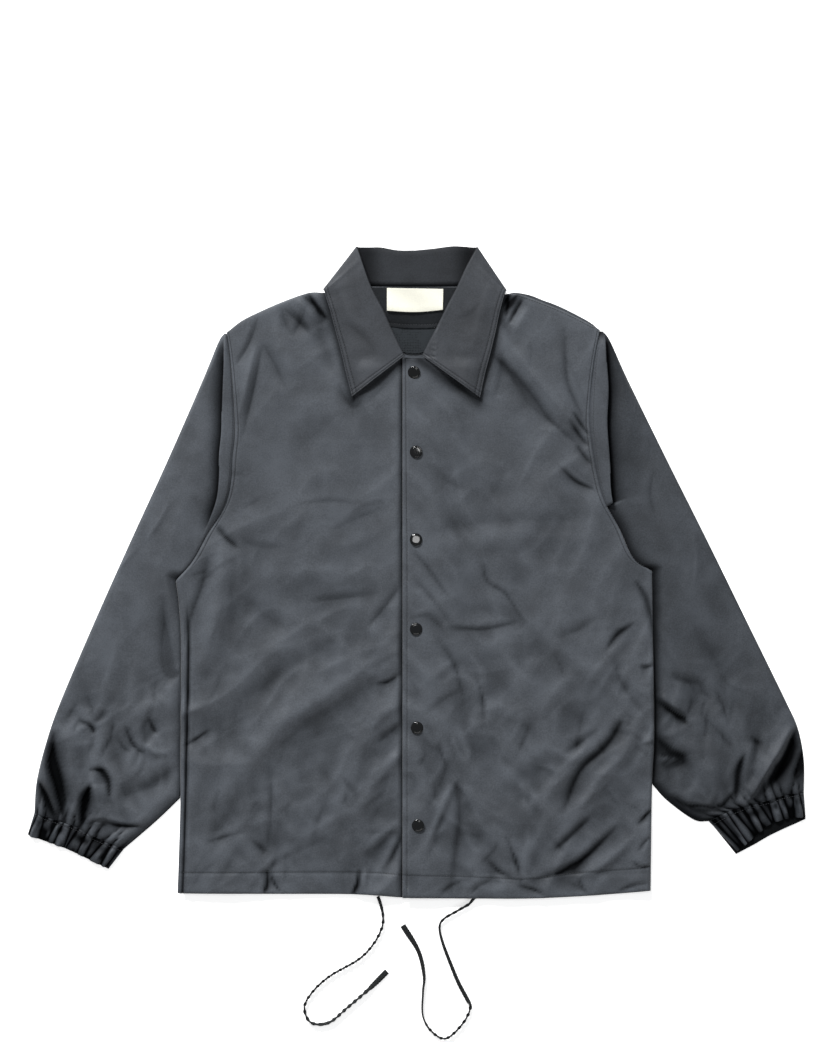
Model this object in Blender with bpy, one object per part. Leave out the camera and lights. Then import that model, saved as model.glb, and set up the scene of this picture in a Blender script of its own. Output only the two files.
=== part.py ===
"""Coach jacket lying flat on its back, front up.

Left and right are the wearer's, so the wearer's right side is at -X. +Y points from the hem to the
collar and the floor is z = 0. Sizes in the tables are millimetres; the meshes are made in metres.
Every piece of cloth is a closed wall. Neighbours stay about 0.3 mm apart or more.
"""

import math
from collections import namedtuple

import bpy
import numpy as np

MM = 0.001

# Cloth walls and the heights at which the layers lie, one on the other.
BACK_WALL = 1.6
LINING_WALL = 1.0
LINING_GAP = 0.7
FRONT_WALL = 1.8
CASING_EXTRA = 0.6
PLACKET_EXTRA = 0.7
SLEEVE_WALL = 1.2
COLLAR_WALL = 1.5
LABEL_WALL = 1.0
GAP = 0.3
SEAM_GAP = 1.8
FRONT_LOFT = 2.0
SLEEVE_TOP = 4.7
CUFF_TOP = 6.2
NECK_LIFT = COLLAR_WALL + 0.35
ROLL_RADIUS = 1.2

# Placket and hem.
PLACKET_LEFT_X = -17.4
UNDER_PLACKET_X = 14.0
PLACKET_TOP_Y = 257.0
UNDER_PLACKET_TOP_Y = 255.8
PLACKET_STITCH_X = 15.0
PLACKET_STEP = 7.0
CASING_TOP_Y = -360.0

# Snaps down the placket.
SNAP_DIAMETER = 15.0
SNAP_HEIGHT = 3.4
SNAP_SIDES = 16
SNAP_PLACES = [(-3.6, 239), (-1.2, 144), (-1.2, 39), (-1.2, -68), (0, -186), (1.2, -303)]

# Drawcord: a flat braid about 6 mm wide, built here as a plain round tube.
CORD_RADIUS = 1.5
CORD_POINTS = 46

# Rows of the fronts: evenly spaced up to the placket's top, then one for each point of the neck.
FRONT_ROWS = 24
CASING_SHARE = 0.037
PLACKET_TOP_SHARE = 0.87

# Outlines, as points of soft curves.
HEM_RIGHT = [(-283, -383), (-278, -385), (-180, -385.6), (-68, -386.4), (-16, -390), (14, -390.5)]
HEM_LEFT = [(-15.5, -390.4), (60, -391), (136, -391), (208, -387.6), (256, -384), (280, -381.6)]
SIDE_RIGHT = [(-283, -383), (-283.5, -240), (-283, -97), (-285, -45), (-289, -10)]
ARMHOLE_RIGHT = [(-289, -10), (-268, 14), (-252, 43), (-232, 77), (-224, 104), (-221, 136),
                 (-218, 172), (-222, 242), (-228, 287)]
SHOULDER_RIGHT = [(-228, 287), (-210, 301), (-188, 312), (-164, 322.5), (-140, 331.5),
                  (-126, 335), (-110, 334.5), (-98, 336.5), (-86, 343)]
SIDE_LEFT = [(280, -381.6), (281.6, -262), (284.4, -192), (283, -77), (282, 1)]
ARMHOLE_LEFT = [(282, 1), (259, 17), (242, 53), (224, 86), (215, 120), (208, 164), (207, 194),
                (211, 243), (219, 290)]
SHOULDER_LEFT = [(219, 290), (211, 294.6), (179, 311), (150, 323), (123, 332.5), (105, 332),
                 (94, 336), (83, 343)]
SHOULDER_LEFT_BACK = [(219, 290), (205, 301), (172, 318), (151, 326), (135.6, 332),
                      (117.6, 335), (105, 333), (94, 336.5), (83, 343)]
NECK_RIGHT = [(-20, 255.5), (-38, 262.5), (-54, 276), (-67, 295), (-76, 314), (-81.5, 331),
              (-86, 343)]
NECK_LEFT = [(11, 256), (29, 263), (45, 277), (58, 296), (68, 315), (76, 331), (83, 343)]
NECK_BACK = [(-86, 343), (-50, 342), (-17, 341.7), (15, 341.7), (47, 342), (83, 343)]

SLEEVE_OUTER_RIGHT = [(-230, 287), (-238, 276), (-257, 230), (-299, 134), (-343, 38), (-386, -58),
                      (-427, -154), (-444, -202), (-456, -250), (-459, -289)]
SLEEVE_BESIDE_RIGHT = [(-290.3, -10), (-286.5, -45), (-284.5, -97), (-284.8, -240), (-286.6, -271)]
UNDERARM_RIGHT = [(-286.6, -271), (-312, -298), (-351.5, -332)]
CUFF_SEAM_RIGHT = [(-459, -289), (-428, -299), (-409, -305.5), (-393, -314.5), (-375, -322.5),
                   (-351.5, -332)]
CUFF_HEM_RIGHT = [(-467, -315), (-444, -323.5), (-422.6, -331), (-397, -343), (-370, -356)]
SLEEVE_OUTER_LEFT = [(221, 290), (231.6, 277), (253, 230), (300, 134), (348, 38), (395, -58), (442, -154),
                     (457, -188), (464, -226), (464, -265)]
SLEEVE_BESIDE_LEFT = [(283.3, 1), (284.5, -77), (286, -192), (284.4, -254)]
UNDERARM_LEFT = [(284.4, -254), (300, -274), (332, -297), (350, -299)]
CUFF_SEAM_LEFT = [(464, -265), (443, -267), (418, -275), (399, -279), (376, -286), (350, -299)]
CUFF_HEM_LEFT = [(466.5, -296), (427, -314), (404, -327), (382, -338.5)]
CUFF_MOUTH_LEFT = [(466, -293), (444, -296), (426, -301), (406, -316), (384, -335)]

# Where the pleats of each cuff pinch in, as fractions of its width from the outer fold.
CUFF_PLEATS = {
    "right": [0.03, 0.12, 0.25, 0.32, 0.42, 0.48, 0.59, 0.675, 0.775, 0.88, 0.96],
    "left": [0.04, 0.12, 0.21, 0.28, 0.38, 0.46, 0.55, 0.64, 0.73, 0.81, 0.89, 0.96],
}
PLEAT_DEPTH = 2.6
CUFF_START = 0.03

# Folds that stand up (height above 0) or sink in (below 0). Each runs along a bent line.
Fold = namedtuple("Fold", "start bend end width height")
FOLDS_FRONT_RIGHT = [
    Fold((-23, -83), (-124, -146), (-239, -258), 13, 4.4),
    Fold((-37, -112), (-150, -190), (-253, -313), 14, -1.8),
    Fold((-95, -71), (-150, -105), (-210, -146), 12, -1.5),
    Fold((-239, 30), (-242, -40), (-262, -112), 9, 3.2),
    Fold((-251, 22), (-262, -30), (-280, -91), 8, -1.6),
    Fold((-204, -28), (-180, -48), (-161, -62), 9, -1.5),
    Fold((-124, -31), (-90, -28), (-52, -22), 9, -1.4),
    Fold((-60, -62), (-45, -38), (-23, -17), 8, -1.4),
    Fold((-279, -163), (-277, -260), (-278, -378), 7, 2.8),
    Fold((-264, -180), (-262, -260), (-263, -376), 9, -1.7),
    Fold((-176, -238), (-175, -280), (-180, -324), 9, -1.5),
    Fold((-173, -348), (-145, -335), (-118, -319), 8, -1.4),
    Fold((-58, -316), (-44, -308), (-28, -301), 9, 2.2),
    Fold((-192, 304), (-200, 260), (-211, 151), 9, -1.5),
    Fold((-185, 276), (-170, 240), (-148, 150), 14, -1.3),
    Fold((-168, 262), (-180, 200), (-180, 120), 16, 2.2),
    Fold((-238, 53), (-222, 40), (-162, 32), 9, -1.5),
    Fold((-140, 84), (-105, 87), (-71, 84), 8, -1.2),
    Fold((-120, 10), (-130, 60), (-110, 150), 40, 1.6),
]
FOLDS_FRONT_LEFT = [
    Fold((91, 260), (125, 225), (186, 160), 12, -1.8),
    Fold((108, 268), (146, 232), (200, 176), 12, 2.8),
    Fold((172, 292), (180, 240), (199, 158), 9, -1.5),
    Fold((24, 53), (105, 67), (217, 67), 9, -1.5),
    Fold((40, 32), (110, 46), (205, 48), 13, 2.0),
    Fold((77, 7), (106, -25), (127, -56), 10, -1.4),
    Fold((37, -65), (78, -67), (118, -60), 9, -1.4),
    Fold((122, -58), (150, -88), (178, -120), 22, -1.7),
    Fold((262, -13), (274, -45), (281, -77), 8, -1.5),
    Fold((236, -103), (250, -140), (274, -172), 10, -1.5),
    Fold((239, -178), (215, -215), (175, -276), 13, -1.9),
    Fold((258, -190), (237, -228), (196, -288), 12, 3.2),
    Fold((204, -293), (185, -311), (164, -327), 10, -1.4),
    Fold((233, -307), (200, -341), (140, -365), 11, -1.9),
    Fold((250, -322), (216, -357), (168, -374), 9, 2.6),
    Fold((17, -71), (46, -114), (54, -146), 9, -1.4),
    Fold((72, -128), (76, -155), (79, -180), 9, -1.3),
    Fold((46, -246), (24, -305), (14, -352), 9, 3.0),
    Fold((58, -252), (58, -322), (50, -386), 10, -1.7),
    Fold((90, 120), (140, 100), (190, 120), 36, 1.5),
]
FOLDS_SLEEVE_RIGHT = [
    Fold((-436, -190), (-433, -225), (-424, -291), 10, -1.8),
    Fold((-412, -180), (-410, -230), (-414, -286), 11, 3.0),
    Fold((-454, -250), (-444, -272), (-442, -288), 8, -1.4),
    Fold((-389, -260), (-398, -275), (-405, -300), 8, -1.7),
    Fold((-392, -230), (-378, -242), (-369, -269), 9, -1.5),
    Fold((-364, -175), (-372, -198), (-380, -220), 10, -1.5),
    Fold((-342, -251), (-310, -236), (-290, -230), 10, -1.5),
    Fold((-347, -194), (-340, -206), (-333, -217), 9, -1.3),
    Fold((-330, -232), (-350, -262), (-372, -300), 12, 2.2),
    Fold((-270, 170), (-300, 60), (-345, -60), 26, 1.6),
]
FOLDS_SLEEVE_LEFT = [
    Fold((446, -186), (416, -236), (394, -270), 10, 3.4),
    Fold((450, -200), (442, -224), (424, -252), 9, -1.8),
    Fold((390, -220), (385, -246), (381, -268), 9, -1.6),
    Fold((286, -197), (306, -214), (296, -232), 11, -1.7),
    Fold((286, -143), (304, -155), (322, -168), 10, 2.2),
    Fold((307, -269), (345, -280), (372, -268), 9, -1.5),
    Fold((330, -190), (345, -225), (352, -265), 14, 2.0),
    Fold((262, 170), (300, 60), (345, -60), 26, 1.6),
]

# The strip of sleeve beside the armhole seam lies in a fold over the rest of the sleeve.
STRIP_WIDTH = 17.0
STRIP_DROP = 0.25
STRIP_RISE = 3.0
STRIP_END = 0.80

# Grid of a sleeve: sections beside the armhole, sections below it as shares of the way from the
# armpit to the cuff seam, and columns as shares of the width beyond the strip.
SLEEVE_START = 0.016
ARMHOLE_SECTIONS = 14
LOWER_SECTIONS = [0.1, 0.2, 0.3, 0.4, 0.49, 0.58, 0.66, 0.74, 0.81, 0.87, 0.91, 0.955, 1]
SLEEVE_COLUMNS = [0.09, 0.19, 0.30, 0.41, 0.52, 0.63, 0.74, 0.85, 0.96, 1]
FOLD_EDGE_TOP = 3.0

# Collar: a row for each section from the front end round to the middle of the back. The stand
# goes from the neck seam to the roll line, and the leaf from the roll line to its edge. The leaf
# lies on the turned-out side of the stand: over it in front (turn 0) and under it behind (180).
CollarSection = namedtuple("CollarSection", "seam roll edge seam_z roll_z edge_z turn")
COLLAR_RIGHT = [
    CollarSection((-20, 255.5), (-14.4, 259.4), (-78, 210), 5.2, 7.6, 8.0, 0),
    CollarSection((-38, 262.5), (-22, 275), (-84.5, 236), 5.0, 8.2, 8.2, 0),
    CollarSection((-54, 276), (-30, 292), (-91, 264), 5.0, 8.8, 8.6, 0),
    CollarSection((-67, 295), (-38, 310), (-98, 290), 5.2, 9.4, 8.8, 0),
    CollarSection((-76, 314), (-46, 326), (-104, 313), 6.0, 9.8, 9.2, 0),
    CollarSection((-81.5, 331), (-54, 342), (-109, 329), 6.6, 10.0, 9.4, 0),
    CollarSection((-85, 342), (-62, 364), (-110.5, 335), 6.9, 9.4, 9.4, 0),
    CollarSection((-87, 344.5), (-70, 388), (-112, 338.2), 6.0, 6.6, 7.2, 45),
    CollarSection((-87.8, 345), (-71, 389.5), (-112.6, 339), 4.7, 4.6, 4.6, 90),
    CollarSection((-87, 344.5), (-69.6, 389.8), (-112, 338.2), 3.4, 2.9, 2.2, 135),
    CollarSection((-82, 343.4), (-66, 390), (-106, 334.6), 2.75, 1.95, 0.75, 180),
    CollarSection((-66, 343), (-56, 390), (-84, 332.5), 2.75, 1.95, 0.75, 180),
    CollarSection((-50, 342.5), (-43, 390), (-60, 330.5), 2.75, 1.95, 0.75, 180),
    CollarSection((-25, 342.3), (-23, 386.6), (-30, 329.4), 2.75, 1.95, 0.75, 180),
]
COLLAR_MIDDLE = CollarSection((-1, 342.2), (-2, 386.4), (-1, 329), 2.75, 1.95, 0.75, 180)
COLLAR_LEFT = [
    CollarSection((11, 256), (5.4, 259.4), (75.6, 208.8), 5.6, 7.8, 8.0, 0),
    CollarSection((29, 263), (13, 275), (81, 235), 5.2, 8.3, 8.2, 0),
    CollarSection((45, 277), (22, 292), (88, 262), 5.0, 8.8, 8.6, 0),
    CollarSection((58, 296), (30.5, 309), (94, 287), 5.2, 9.4, 8.8, 0),
    CollarSection((68, 315), (38.5, 325), (99, 311), 6.0, 9.8, 9.2, 0),
    CollarSection((76, 331), (46.8, 341), (103.5, 328), 6.6, 10.0, 9.4, 0),
    CollarSection((81, 341.6), (57, 364), (105.5, 333.5), 6.9, 9.4, 9.4, 0),
    CollarSection((84, 344.5), (69.6, 387.4), (107, 337), 6.0, 6.6, 7.2, 45),
    CollarSection((84.8, 345), (70.8, 389), (107.6, 337.8), 4.7, 4.6, 4.6, 90),
    CollarSection((84, 344.5), (69.4, 389.6), (107, 337), 3.4, 2.9, 2.2, 135),
    CollarSection((79, 343.4), (65, 390), (101, 333.6), 2.75, 1.95, 0.75, 180),
    CollarSection((64, 343), (55, 391), (81, 332), 2.75, 1.95, 0.75, 180),
    CollarSection((47, 342.5), (41, 391.3), (58, 330.5), 2.75, 1.95, 0.75, 180),
    CollarSection((23, 342.3), (20, 388.6), (28, 329.4), 2.75, 1.95, 0.75, 180),
]
LEAF_STEPS = [0.14, 0.42, 0.72]
STAND_STEPS = [0.5]
LEAF_CLEARANCE = 1.1
NECK_FRONT_X = 20.0

# Back neck facing, the mesh lining below it, and the label.
FACING_TOP_Y = 341.2
FACING_LOW = [(-78, 318), (-60, 301), (-30, 294), (0, 292), (28, 294), (52, 301), (70, 318)]
LINING_LOW = [(-50, 288), (-34, 272), (-18, 264), (-4, 262), (9, 264), (24, 272), (42, 288)]
LABEL_CORNERS = [(-36, 313), (31, 314), (31.5, 339), (-36, 340.2)]

# Routes of the free cord ends on the floor, hem first, tip last.
CORD_ROUTE_RIGHT = [(-46.8, -388.6), (-43.6, -398), (-40.8, -412), (-42, -426), (-51.6, -445),
                    (-69.6, -464), (-104, -484), (-125, -503), (-135, -522), (-127, -540),
                    (-105.6, -540), (-83.4, -522), (-61, -503), (-50, -493), (-36, -479)]
CORD_ROUTE_LEFT = [(66.5, -393), (61.5, -398.5), (47, -407), (32, -416), (27, -426), (31, -445),
                   (42, -474), (50, -493), (60, -512), (64, -522), (55, -541), (35, -559),
                   (18, -551), (7, -532), (7.2, -503), (8.4, -484), (1.8, -455), (-17, -424)]
CORD_EXIT_Z = 4.6
CORD_DROP = 22.0


def soft_step(value):
    """0 below 0, 1 above 1, and a smooth rise between."""
    value = np.clip(value, 0.0, 1.0)
    return value * value * (3.0 - 2.0 * value)


def soft_curve(points, steps=10):
    """Points of a Catmull-Rom curve through the given points."""
    given = np.array(points, float)
    before = 2 * given[0] - given[1]
    after = 2 * given[-1] - given[-2]
    padded = np.vstack([before, given, after])
    t = np.linspace(0, 1, steps, endpoint=False)[:, None]
    spans = []
    for p0, p1, p2, p3 in zip(padded, padded[1:], padded[2:], padded[3:]):
        bend = (2 * p0 - 5 * p1 + 4 * p2 - p3) * t ** 2 + (3 * p1 - p0 - 3 * p2 + p3) * t ** 3
        spans.append(0.5 * (2 * p1 + (p2 - p0) * t + bend))
    return np.vstack(spans + [given[-1:]])


def along(curve, fractions):
    """Points at fractions of the length of a curve."""
    steps = np.linalg.norm(np.diff(curve, axis=0), axis=1)
    reach = np.concatenate([[0], np.cumsum(steps)]) / steps.sum()
    places = [np.interp(fractions, reach, curve[:, axis]) for axis in range(curve.shape[1])]
    return np.stack(places, axis=-1)


def patch(low, high, first, last):
    """Fill four sides with a grid: low and high run along the columns, first and last the rows."""
    u = np.linspace(0, 1, len(low))[None, :, None]
    v = np.linspace(0, 1, len(first))[:, None, None]
    between_rows = (1 - v) * low[None] + v * high[None]
    between_columns = (1 - u) * first[:, None] + u * last[:, None]
    corners = (1 - u) * (1 - v) * low[0] + u * (1 - v) * low[-1]
    corners = corners + (1 - u) * v * high[0] + u * v * high[-1]
    return between_rows + between_columns - corners


def fold_height(x, y, folds):
    """Height that the folds add at each point."""
    total = np.zeros_like(x)
    t = np.linspace(0, 1, 11)[:, None]
    for fold in folds:
        start, bend, end = (np.array(p, float) for p in (fold.start, fold.bend, fold.end))
        control = 2 * bend - (start + end) / 2
        line = (1 - t) ** 2 * start + 2 * t * (1 - t) * control + t ** 2 * end
        nearest = np.full(x.shape, 1e9)
        place = np.zeros_like(x)
        for index in range(len(line) - 1):
            step = line[index + 1] - line[index]
            share = ((x - line[index, 0]) * step[0] + (y - line[index, 1]) * step[1]) / (step @ step)
            share = np.clip(share, 0, 1)
            away = np.hypot(x - line[index, 0] - share * step[0], y - line[index, 1] - share * step[1])
            closer = away < nearest
            nearest = np.where(closer, away, nearest)
            place = np.where(closer, (index + share) / (len(line) - 1), place)
        taper = np.sin(np.pi * np.clip(0.08 + 0.84 * place, 0, 1)) ** 0.7
        total += fold.height * taper * np.exp(-(nearest / fold.width) ** 2)
    return total


def neck_lift(x, y):
    """The layers at the back of the neck lie on the collar's leaf, which rests on the floor."""
    return NECK_LIFT * soft_step((y - 296) / 24) * soft_step((132 - np.abs(x)) / 14)


def under_collar(x, y):
    """1 where the collar's leaf presses the front flat, 0 away from it."""
    return soft_step((y - 190) / 25) * soft_step((125 - np.abs(x)) / 20)


def front_inside(x, y, side):
    """Height of a front's inner face, over the back."""
    folds = FOLDS_FRONT_RIGHT if side == "right" else FOLDS_FRONT_LEFT
    loft = FRONT_LOFT + fold_height(x, y, folds) * (1 - under_collar(x, y))
    loft = np.maximum(loft, GAP)
    if side == "right":
        tuck = soft_step((x + 36) / 14) * soft_step((261 - y) / 4)
        loft = loft * (1 - tuck) + GAP * tuck
    else:
        over = soft_step((30 - x) / 15)
        loft = loft * (1 - over) + (FRONT_WALL + 2 * GAP + CASING_EXTRA) * over
    return BACK_WALL + loft + neck_lift(x, y)


def front_outside(x, y, side):
    """Height of a front's outer face: thicker at the hem casing and the placket."""
    wall = FRONT_WALL + CASING_EXTRA * soft_step((CASING_TOP_Y - y) / 6)
    if side == "left":
        wall = wall + PLACKET_EXTRA * soft_step((PLACKET_STITCH_X + PLACKET_STEP - x) / PLACKET_STEP)
    return front_inside(x, y, side) + wall


def material_for(name, color, roughness, metallic=0.0):
    """A plain principled material."""
    material = bpy.data.materials.new(name)
    material.use_nodes = True
    surface = material.node_tree.nodes["Principled BSDF"]
    surface.inputs["Base Color"].default_value = (*color, 1)
    surface.inputs["Roughness"].default_value = roughness
    surface.inputs["Metallic"].default_value = metallic
    return material


def add_mesh(name, points, faces, material, smooth_angle=40):
    """A mesh object from points in millimetres, with its faces turned outward."""
    corners = [np.asarray(points)[list(face)] for face in faces]
    volume = sum(c[0] @ np.cross(c[i], c[i + 1]) for c in corners for i in range(1, len(c) - 1))
    if volume < 0:
        faces = [tuple(reversed(face)) for face in faces]
    mesh = bpy.data.meshes.new(name)
    mesh.from_pydata([tuple(p) for p in np.asarray(points) * MM], [], faces)
    mesh.materials.append(material)
    mesh.shade_smooth()
    mesh.set_sharp_from_angle(angle=math.radians(smooth_angle))
    piece = bpy.data.objects.new(name, mesh)
    bpy.context.collection.objects.link(piece)
    return piece


def add_wall(name, plan, inside_z, outside_z, material):
    """A closed wall over a grid of plan points, between two heights."""
    rows, columns = plan.shape[:2]
    inside = np.dstack([plan, inside_z]).reshape(-1, 3)
    outside = np.dstack([plan, outside_z]).reshape(-1, 3)
    count = rows * columns
    faces = []
    for row in range(rows - 1):
        for column in range(columns - 1):
            a = row * columns + column
            quad = (a, a + 1, a + columns + 1, a + columns)
            faces.append(tuple(count + corner for corner in quad))
            faces.append(tuple(reversed(quad)))
    rim = list(range(columns))
    rim += [row * columns + columns - 1 for row in range(1, rows)]
    rim += [(rows - 1) * columns + column for column in range(columns - 2, -1, -1)]
    rim += [row * columns for row in range(rows - 2, 0, -1)]
    for a, b in zip(rim, rim[1:] + rim[:1]):
        faces.append((a, b, b + count, a + count))
    return add_mesh(name, np.vstack([inside, outside]), faces, material)


def add_tube_wall(name, outer, inner, material):
    """A closed wall between two tubes of rings, open at both ends of the tube."""
    rings, around = outer.shape[:2]
    count = rings * around
    faces = []
    for ring in range(rings - 1):
        for k in range(around):
            after = (k + 1) % around
            quad = [ring * around + k, ring * around + after]
            quad += [(ring + 1) * around + after, (ring + 1) * around + k]
            faces.append(tuple(quad))
            faces.append(tuple(count + corner for corner in reversed(quad)))
    last = (rings - 1) * around
    for k in range(around):
        after = (k + 1) % around
        faces.append((after, k, k + count, after + count))
        faces.append((last + k, last + after, last + after + count, last + k + count))
    points = np.vstack([outer.reshape(-1, 3), inner.reshape(-1, 3)])
    return add_mesh(name, points, faces, material)


def build_back(cloth):
    """The back, flat on the floor but for the neck, where it lies on the collar's leaf."""
    shoulder_right = along(soft_curve(SHOULDER_RIGHT), np.linspace(0, 1, 8))
    shoulder_left = along(soft_curve(SHOULDER_LEFT_BACK[::-1]), np.linspace(0, 1, 8))
    top = np.vstack([shoulder_right, np.array(NECK_BACK[1:-1], float), shoulder_left])
    top[:, 1] -= 0.2
    share = (top[:, 0] - top[0, 0]) / (top[-1, 0] - top[0, 0])
    hem = np.vstack([soft_curve(HEM_RIGHT[:5]), soft_curve(HEM_LEFT[1:])])
    low = along(hem, share)
    rows = np.concatenate([[0, 0.035], np.linspace(0.035, 0.93, 22)[1:], [0.955, 0.975, 1]])
    right = np.vstack([soft_curve(SIDE_RIGHT), soft_curve(ARMHOLE_RIGHT)[1:]])
    left = np.vstack([soft_curve(SIDE_LEFT), soft_curve(ARMHOLE_LEFT)[1:]])
    right_side = along(right, rows)
    left_side = along(left, rows)
    plan = patch(low, top, right_side, left_side)
    inside = neck_lift(plan[..., 0], plan[..., 1])
    return add_wall("back", plan, inside, inside + BACK_WALL, cloth)


def front_rows(neck, centre_x, hem_y, side_curve, armhole_curve):
    """Ends of the rows of a front: at the centre edge and neck, and at the side and armhole."""
    straight = np.concatenate([[0], np.linspace(CASING_SHARE, 1, FRONT_ROWS)])
    centre = [(centre_x, hem_y + (PLACKET_TOP_Y - hem_y) * share) for share in straight]
    inner = np.array(centre + list(neck), float)
    curve = np.vstack([soft_curve(side_curve), soft_curve(armhole_curve)[1:]])
    neck_share = np.linspace(PLACKET_TOP_SHARE, 1, len(neck) + 1)[1:]
    outer = along(curve, np.concatenate([straight * PLACKET_TOP_SHARE, neck_share]))
    return inner, outer


def build_front_right(cloth):
    """The front under the placket, from the side and armhole to past the middle."""
    inner, outer = front_rows(NECK_RIGHT, UNDER_PLACKET_X, -390.5, SIDE_RIGHT, ARMHOLE_RIGHT)
    inner[FRONT_ROWS + 1, 1] = UNDER_PLACKET_TOP_Y
    share = np.concatenate([np.linspace(0, 0.832, 16), [0.889, 1]])
    low = along(soft_curve(HEM_RIGHT), share)
    top = along(soft_curve(SHOULDER_RIGHT), share)
    plan = patch_by_share(low, top, outer, inner, share)
    x, y = plan[..., 0], plan[..., 1]
    inside, outside = front_inside(x, y, "right"), front_outside(x, y, "right")
    inside, outside = lower_edge(inside, outside, 0)
    return add_wall("front_right", plan, inside, outside, cloth)


def build_front_left(cloth):
    """The front on top, with its stitched placket."""
    inner, outer = front_rows(NECK_LEFT, PLACKET_LEFT_X, -390.4, SIDE_LEFT, ARMHOLE_LEFT)
    share = np.concatenate([[0, 0.104], np.linspace(0.158, 1, 16)])
    low = along(soft_curve(HEM_LEFT), share)
    top = along(soft_curve(SHOULDER_LEFT[::-1]), share)
    plan = patch_by_share(low, top, inner, outer, share)
    x, y = plan[..., 0], plan[..., 1]
    inside, outside = front_inside(x, y, "left"), front_outside(x, y, "left")
    inside, outside = lower_edge(inside, outside, -1)
    return add_wall("front_left", plan, inside, outside, cloth)


def patch_by_share(low, high, first, last, share):
    """Fill four sides whose columns stand at the given shares of the width."""
    u = np.asarray(share)[None, :, None]
    v = np.linspace(0, 1, len(first))[:, None, None]
    between_columns = (1 - u) * first[:, None] + u * last[:, None]
    low_bow = low[None] - ((1 - u) * low[0] + u * low[-1])
    high_bow = high[None] - ((1 - u) * high[0] + u * high[-1])
    return between_columns + low_bow * (1 - v) ** 4 + high_bow * v ** 4


def lower_edge(inside, outside, column):
    """Bring a front's side edge down on the back."""
    drop = (inside[:, column] - BACK_WALL - GAP) * 0.8
    drop = np.where(drop > 0, drop, 0)
    inside[:, column] -= drop
    outside[:, column] -= drop
    return inside, outside


def sleeve_sides(side):
    """Sides of a sleeve: outer fold, armhole, edge beside the body, underarm and cuff seam."""
    if side == "right":
        armhole = soft_curve(ARMHOLE_RIGHT[::-1]) + np.array([-SEAM_GAP, 0])
        inner = np.vstack([armhole, soft_curve(SLEEVE_BESIDE_RIGHT)[1:], soft_curve(UNDERARM_RIGHT)[1:]])
        return soft_curve(SLEEVE_OUTER_RIGHT), inner, armhole, soft_curve(CUFF_SEAM_RIGHT)
    armhole = soft_curve(ARMHOLE_LEFT[::-1]) + np.array([SEAM_GAP, 0])
    inner = np.vstack([armhole, soft_curve(SLEEVE_BESIDE_LEFT)[1:], soft_curve(UNDERARM_LEFT)[1:]])
    return soft_curve(SLEEVE_OUTER_LEFT), inner, armhole, soft_curve(CUFF_SEAM_LEFT)


def curve_length(curve):
    """Length of a curve given by close points."""
    return np.linalg.norm(np.diff(curve, axis=0), axis=1).sum()


def flat_tube(name, plan_over, plan_under, over_z, wall, cloth):
    """A flattened tube wall that lies on the floor.

    The first and last columns of plan_over are the folds at its two sides; over_z is the height of
    the upper face at its columns.
    """
    rings, columns = plan_over.shape[:2]
    middle_z = over_z.mean(axis=1) * 0.45
    outer, inner = [], []
    for ring in range(rings):
        first, last = plan_over[ring, 0], plan_over[ring, -1]
        across = (last - first) / np.linalg.norm(last - first)
        outer_ring = [(*first, middle_z[ring])]
        inner_ring = [(*(first + across * wall), middle_z[ring])]
        for column in range(1, columns - 1):
            x, y = plan_over[ring, column]
            outer_ring.append((x, y, over_z[ring, column]))
            inner_ring.append((x, y, over_z[ring, column] - wall))
        outer_ring.append((*last, middle_z[ring]))
        inner_ring.append((*(last - across * wall), middle_z[ring]))
        for x, y in plan_under[ring, ::-1]:
            outer_ring.append((x, y, 0))
            inner_ring.append((x, y, wall))
        outer.append(outer_ring)
        inner.append(inner_ring)
    return add_tube_wall(name, np.array(outer), np.array(inner), cloth)


def build_sleeve(side, cloth):
    """A sleeve from armhole to cuff seam, folded flat, with sections across it all the way down.

    The inner end of each section runs down the armhole, beside the body and along the underarm.
    Only the armhole and the cuff seam are open; the other edges are folds.
    """
    outer, inner, armhole, seam = sleeve_sides(side)
    armpit = curve_length(armhole) / curve_length(inner)
    on_armhole = np.linspace(SLEEVE_START, armpit, ARMHOLE_SECTIONS)
    sections = np.concatenate([on_armhole, armpit + (1 - armpit) * np.array(LOWER_SECTIONS)])
    inner_ends, outer_ends = along(inner, sections), along(outer, sections)
    width = np.linalg.norm(outer_ends - inner_ends, axis=1)
    strip = np.minimum(STRIP_WIDTH / width, 0.5)
    shares = [strip * 0, strip * (1 - STRIP_DROP), strip]
    shares += [strip + (1 - strip) * share for share in SLEEVE_COLUMNS]
    shares = np.array(shares)
    plan = inner_ends[None] * (1 - shares[..., None]) + outer_ends[None] * shares[..., None]
    bow = along(seam[::-1], shares[:, -1]) - plan[:, -1]
    plan += bow[:, None] * (sections ** 6)[None, :, None]
    folds = FOLDS_SLEEVE_RIGHT if side == "right" else FOLDS_SLEEVE_LEFT
    height = SLEEVE_TOP + fold_height(plan[..., 0], plan[..., 1], folds)
    fade = soft_step((armpit * STRIP_END - sections) / 0.06) * soft_step((sections - 0.01) / 0.04)
    height[:2] += STRIP_RISE * fade[None]
    height = np.maximum(height, 2 * SLEEVE_WALL + GAP)
    height[-1] = FOLD_EDGE_TOP
    height[:, 0] = FOLD_EDGE_TOP
    height[0, len(on_armhole):] = FOLD_EDGE_TOP
    return add_folded_tube(f"sleeve_{side}", plan, height, len(on_armhole) - 1, cloth)


def toward(points, others):
    """Unit steps from points to their neighbours."""
    step = others - points
    return step / np.linalg.norm(step, axis=-1, keepdims=True)


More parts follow.
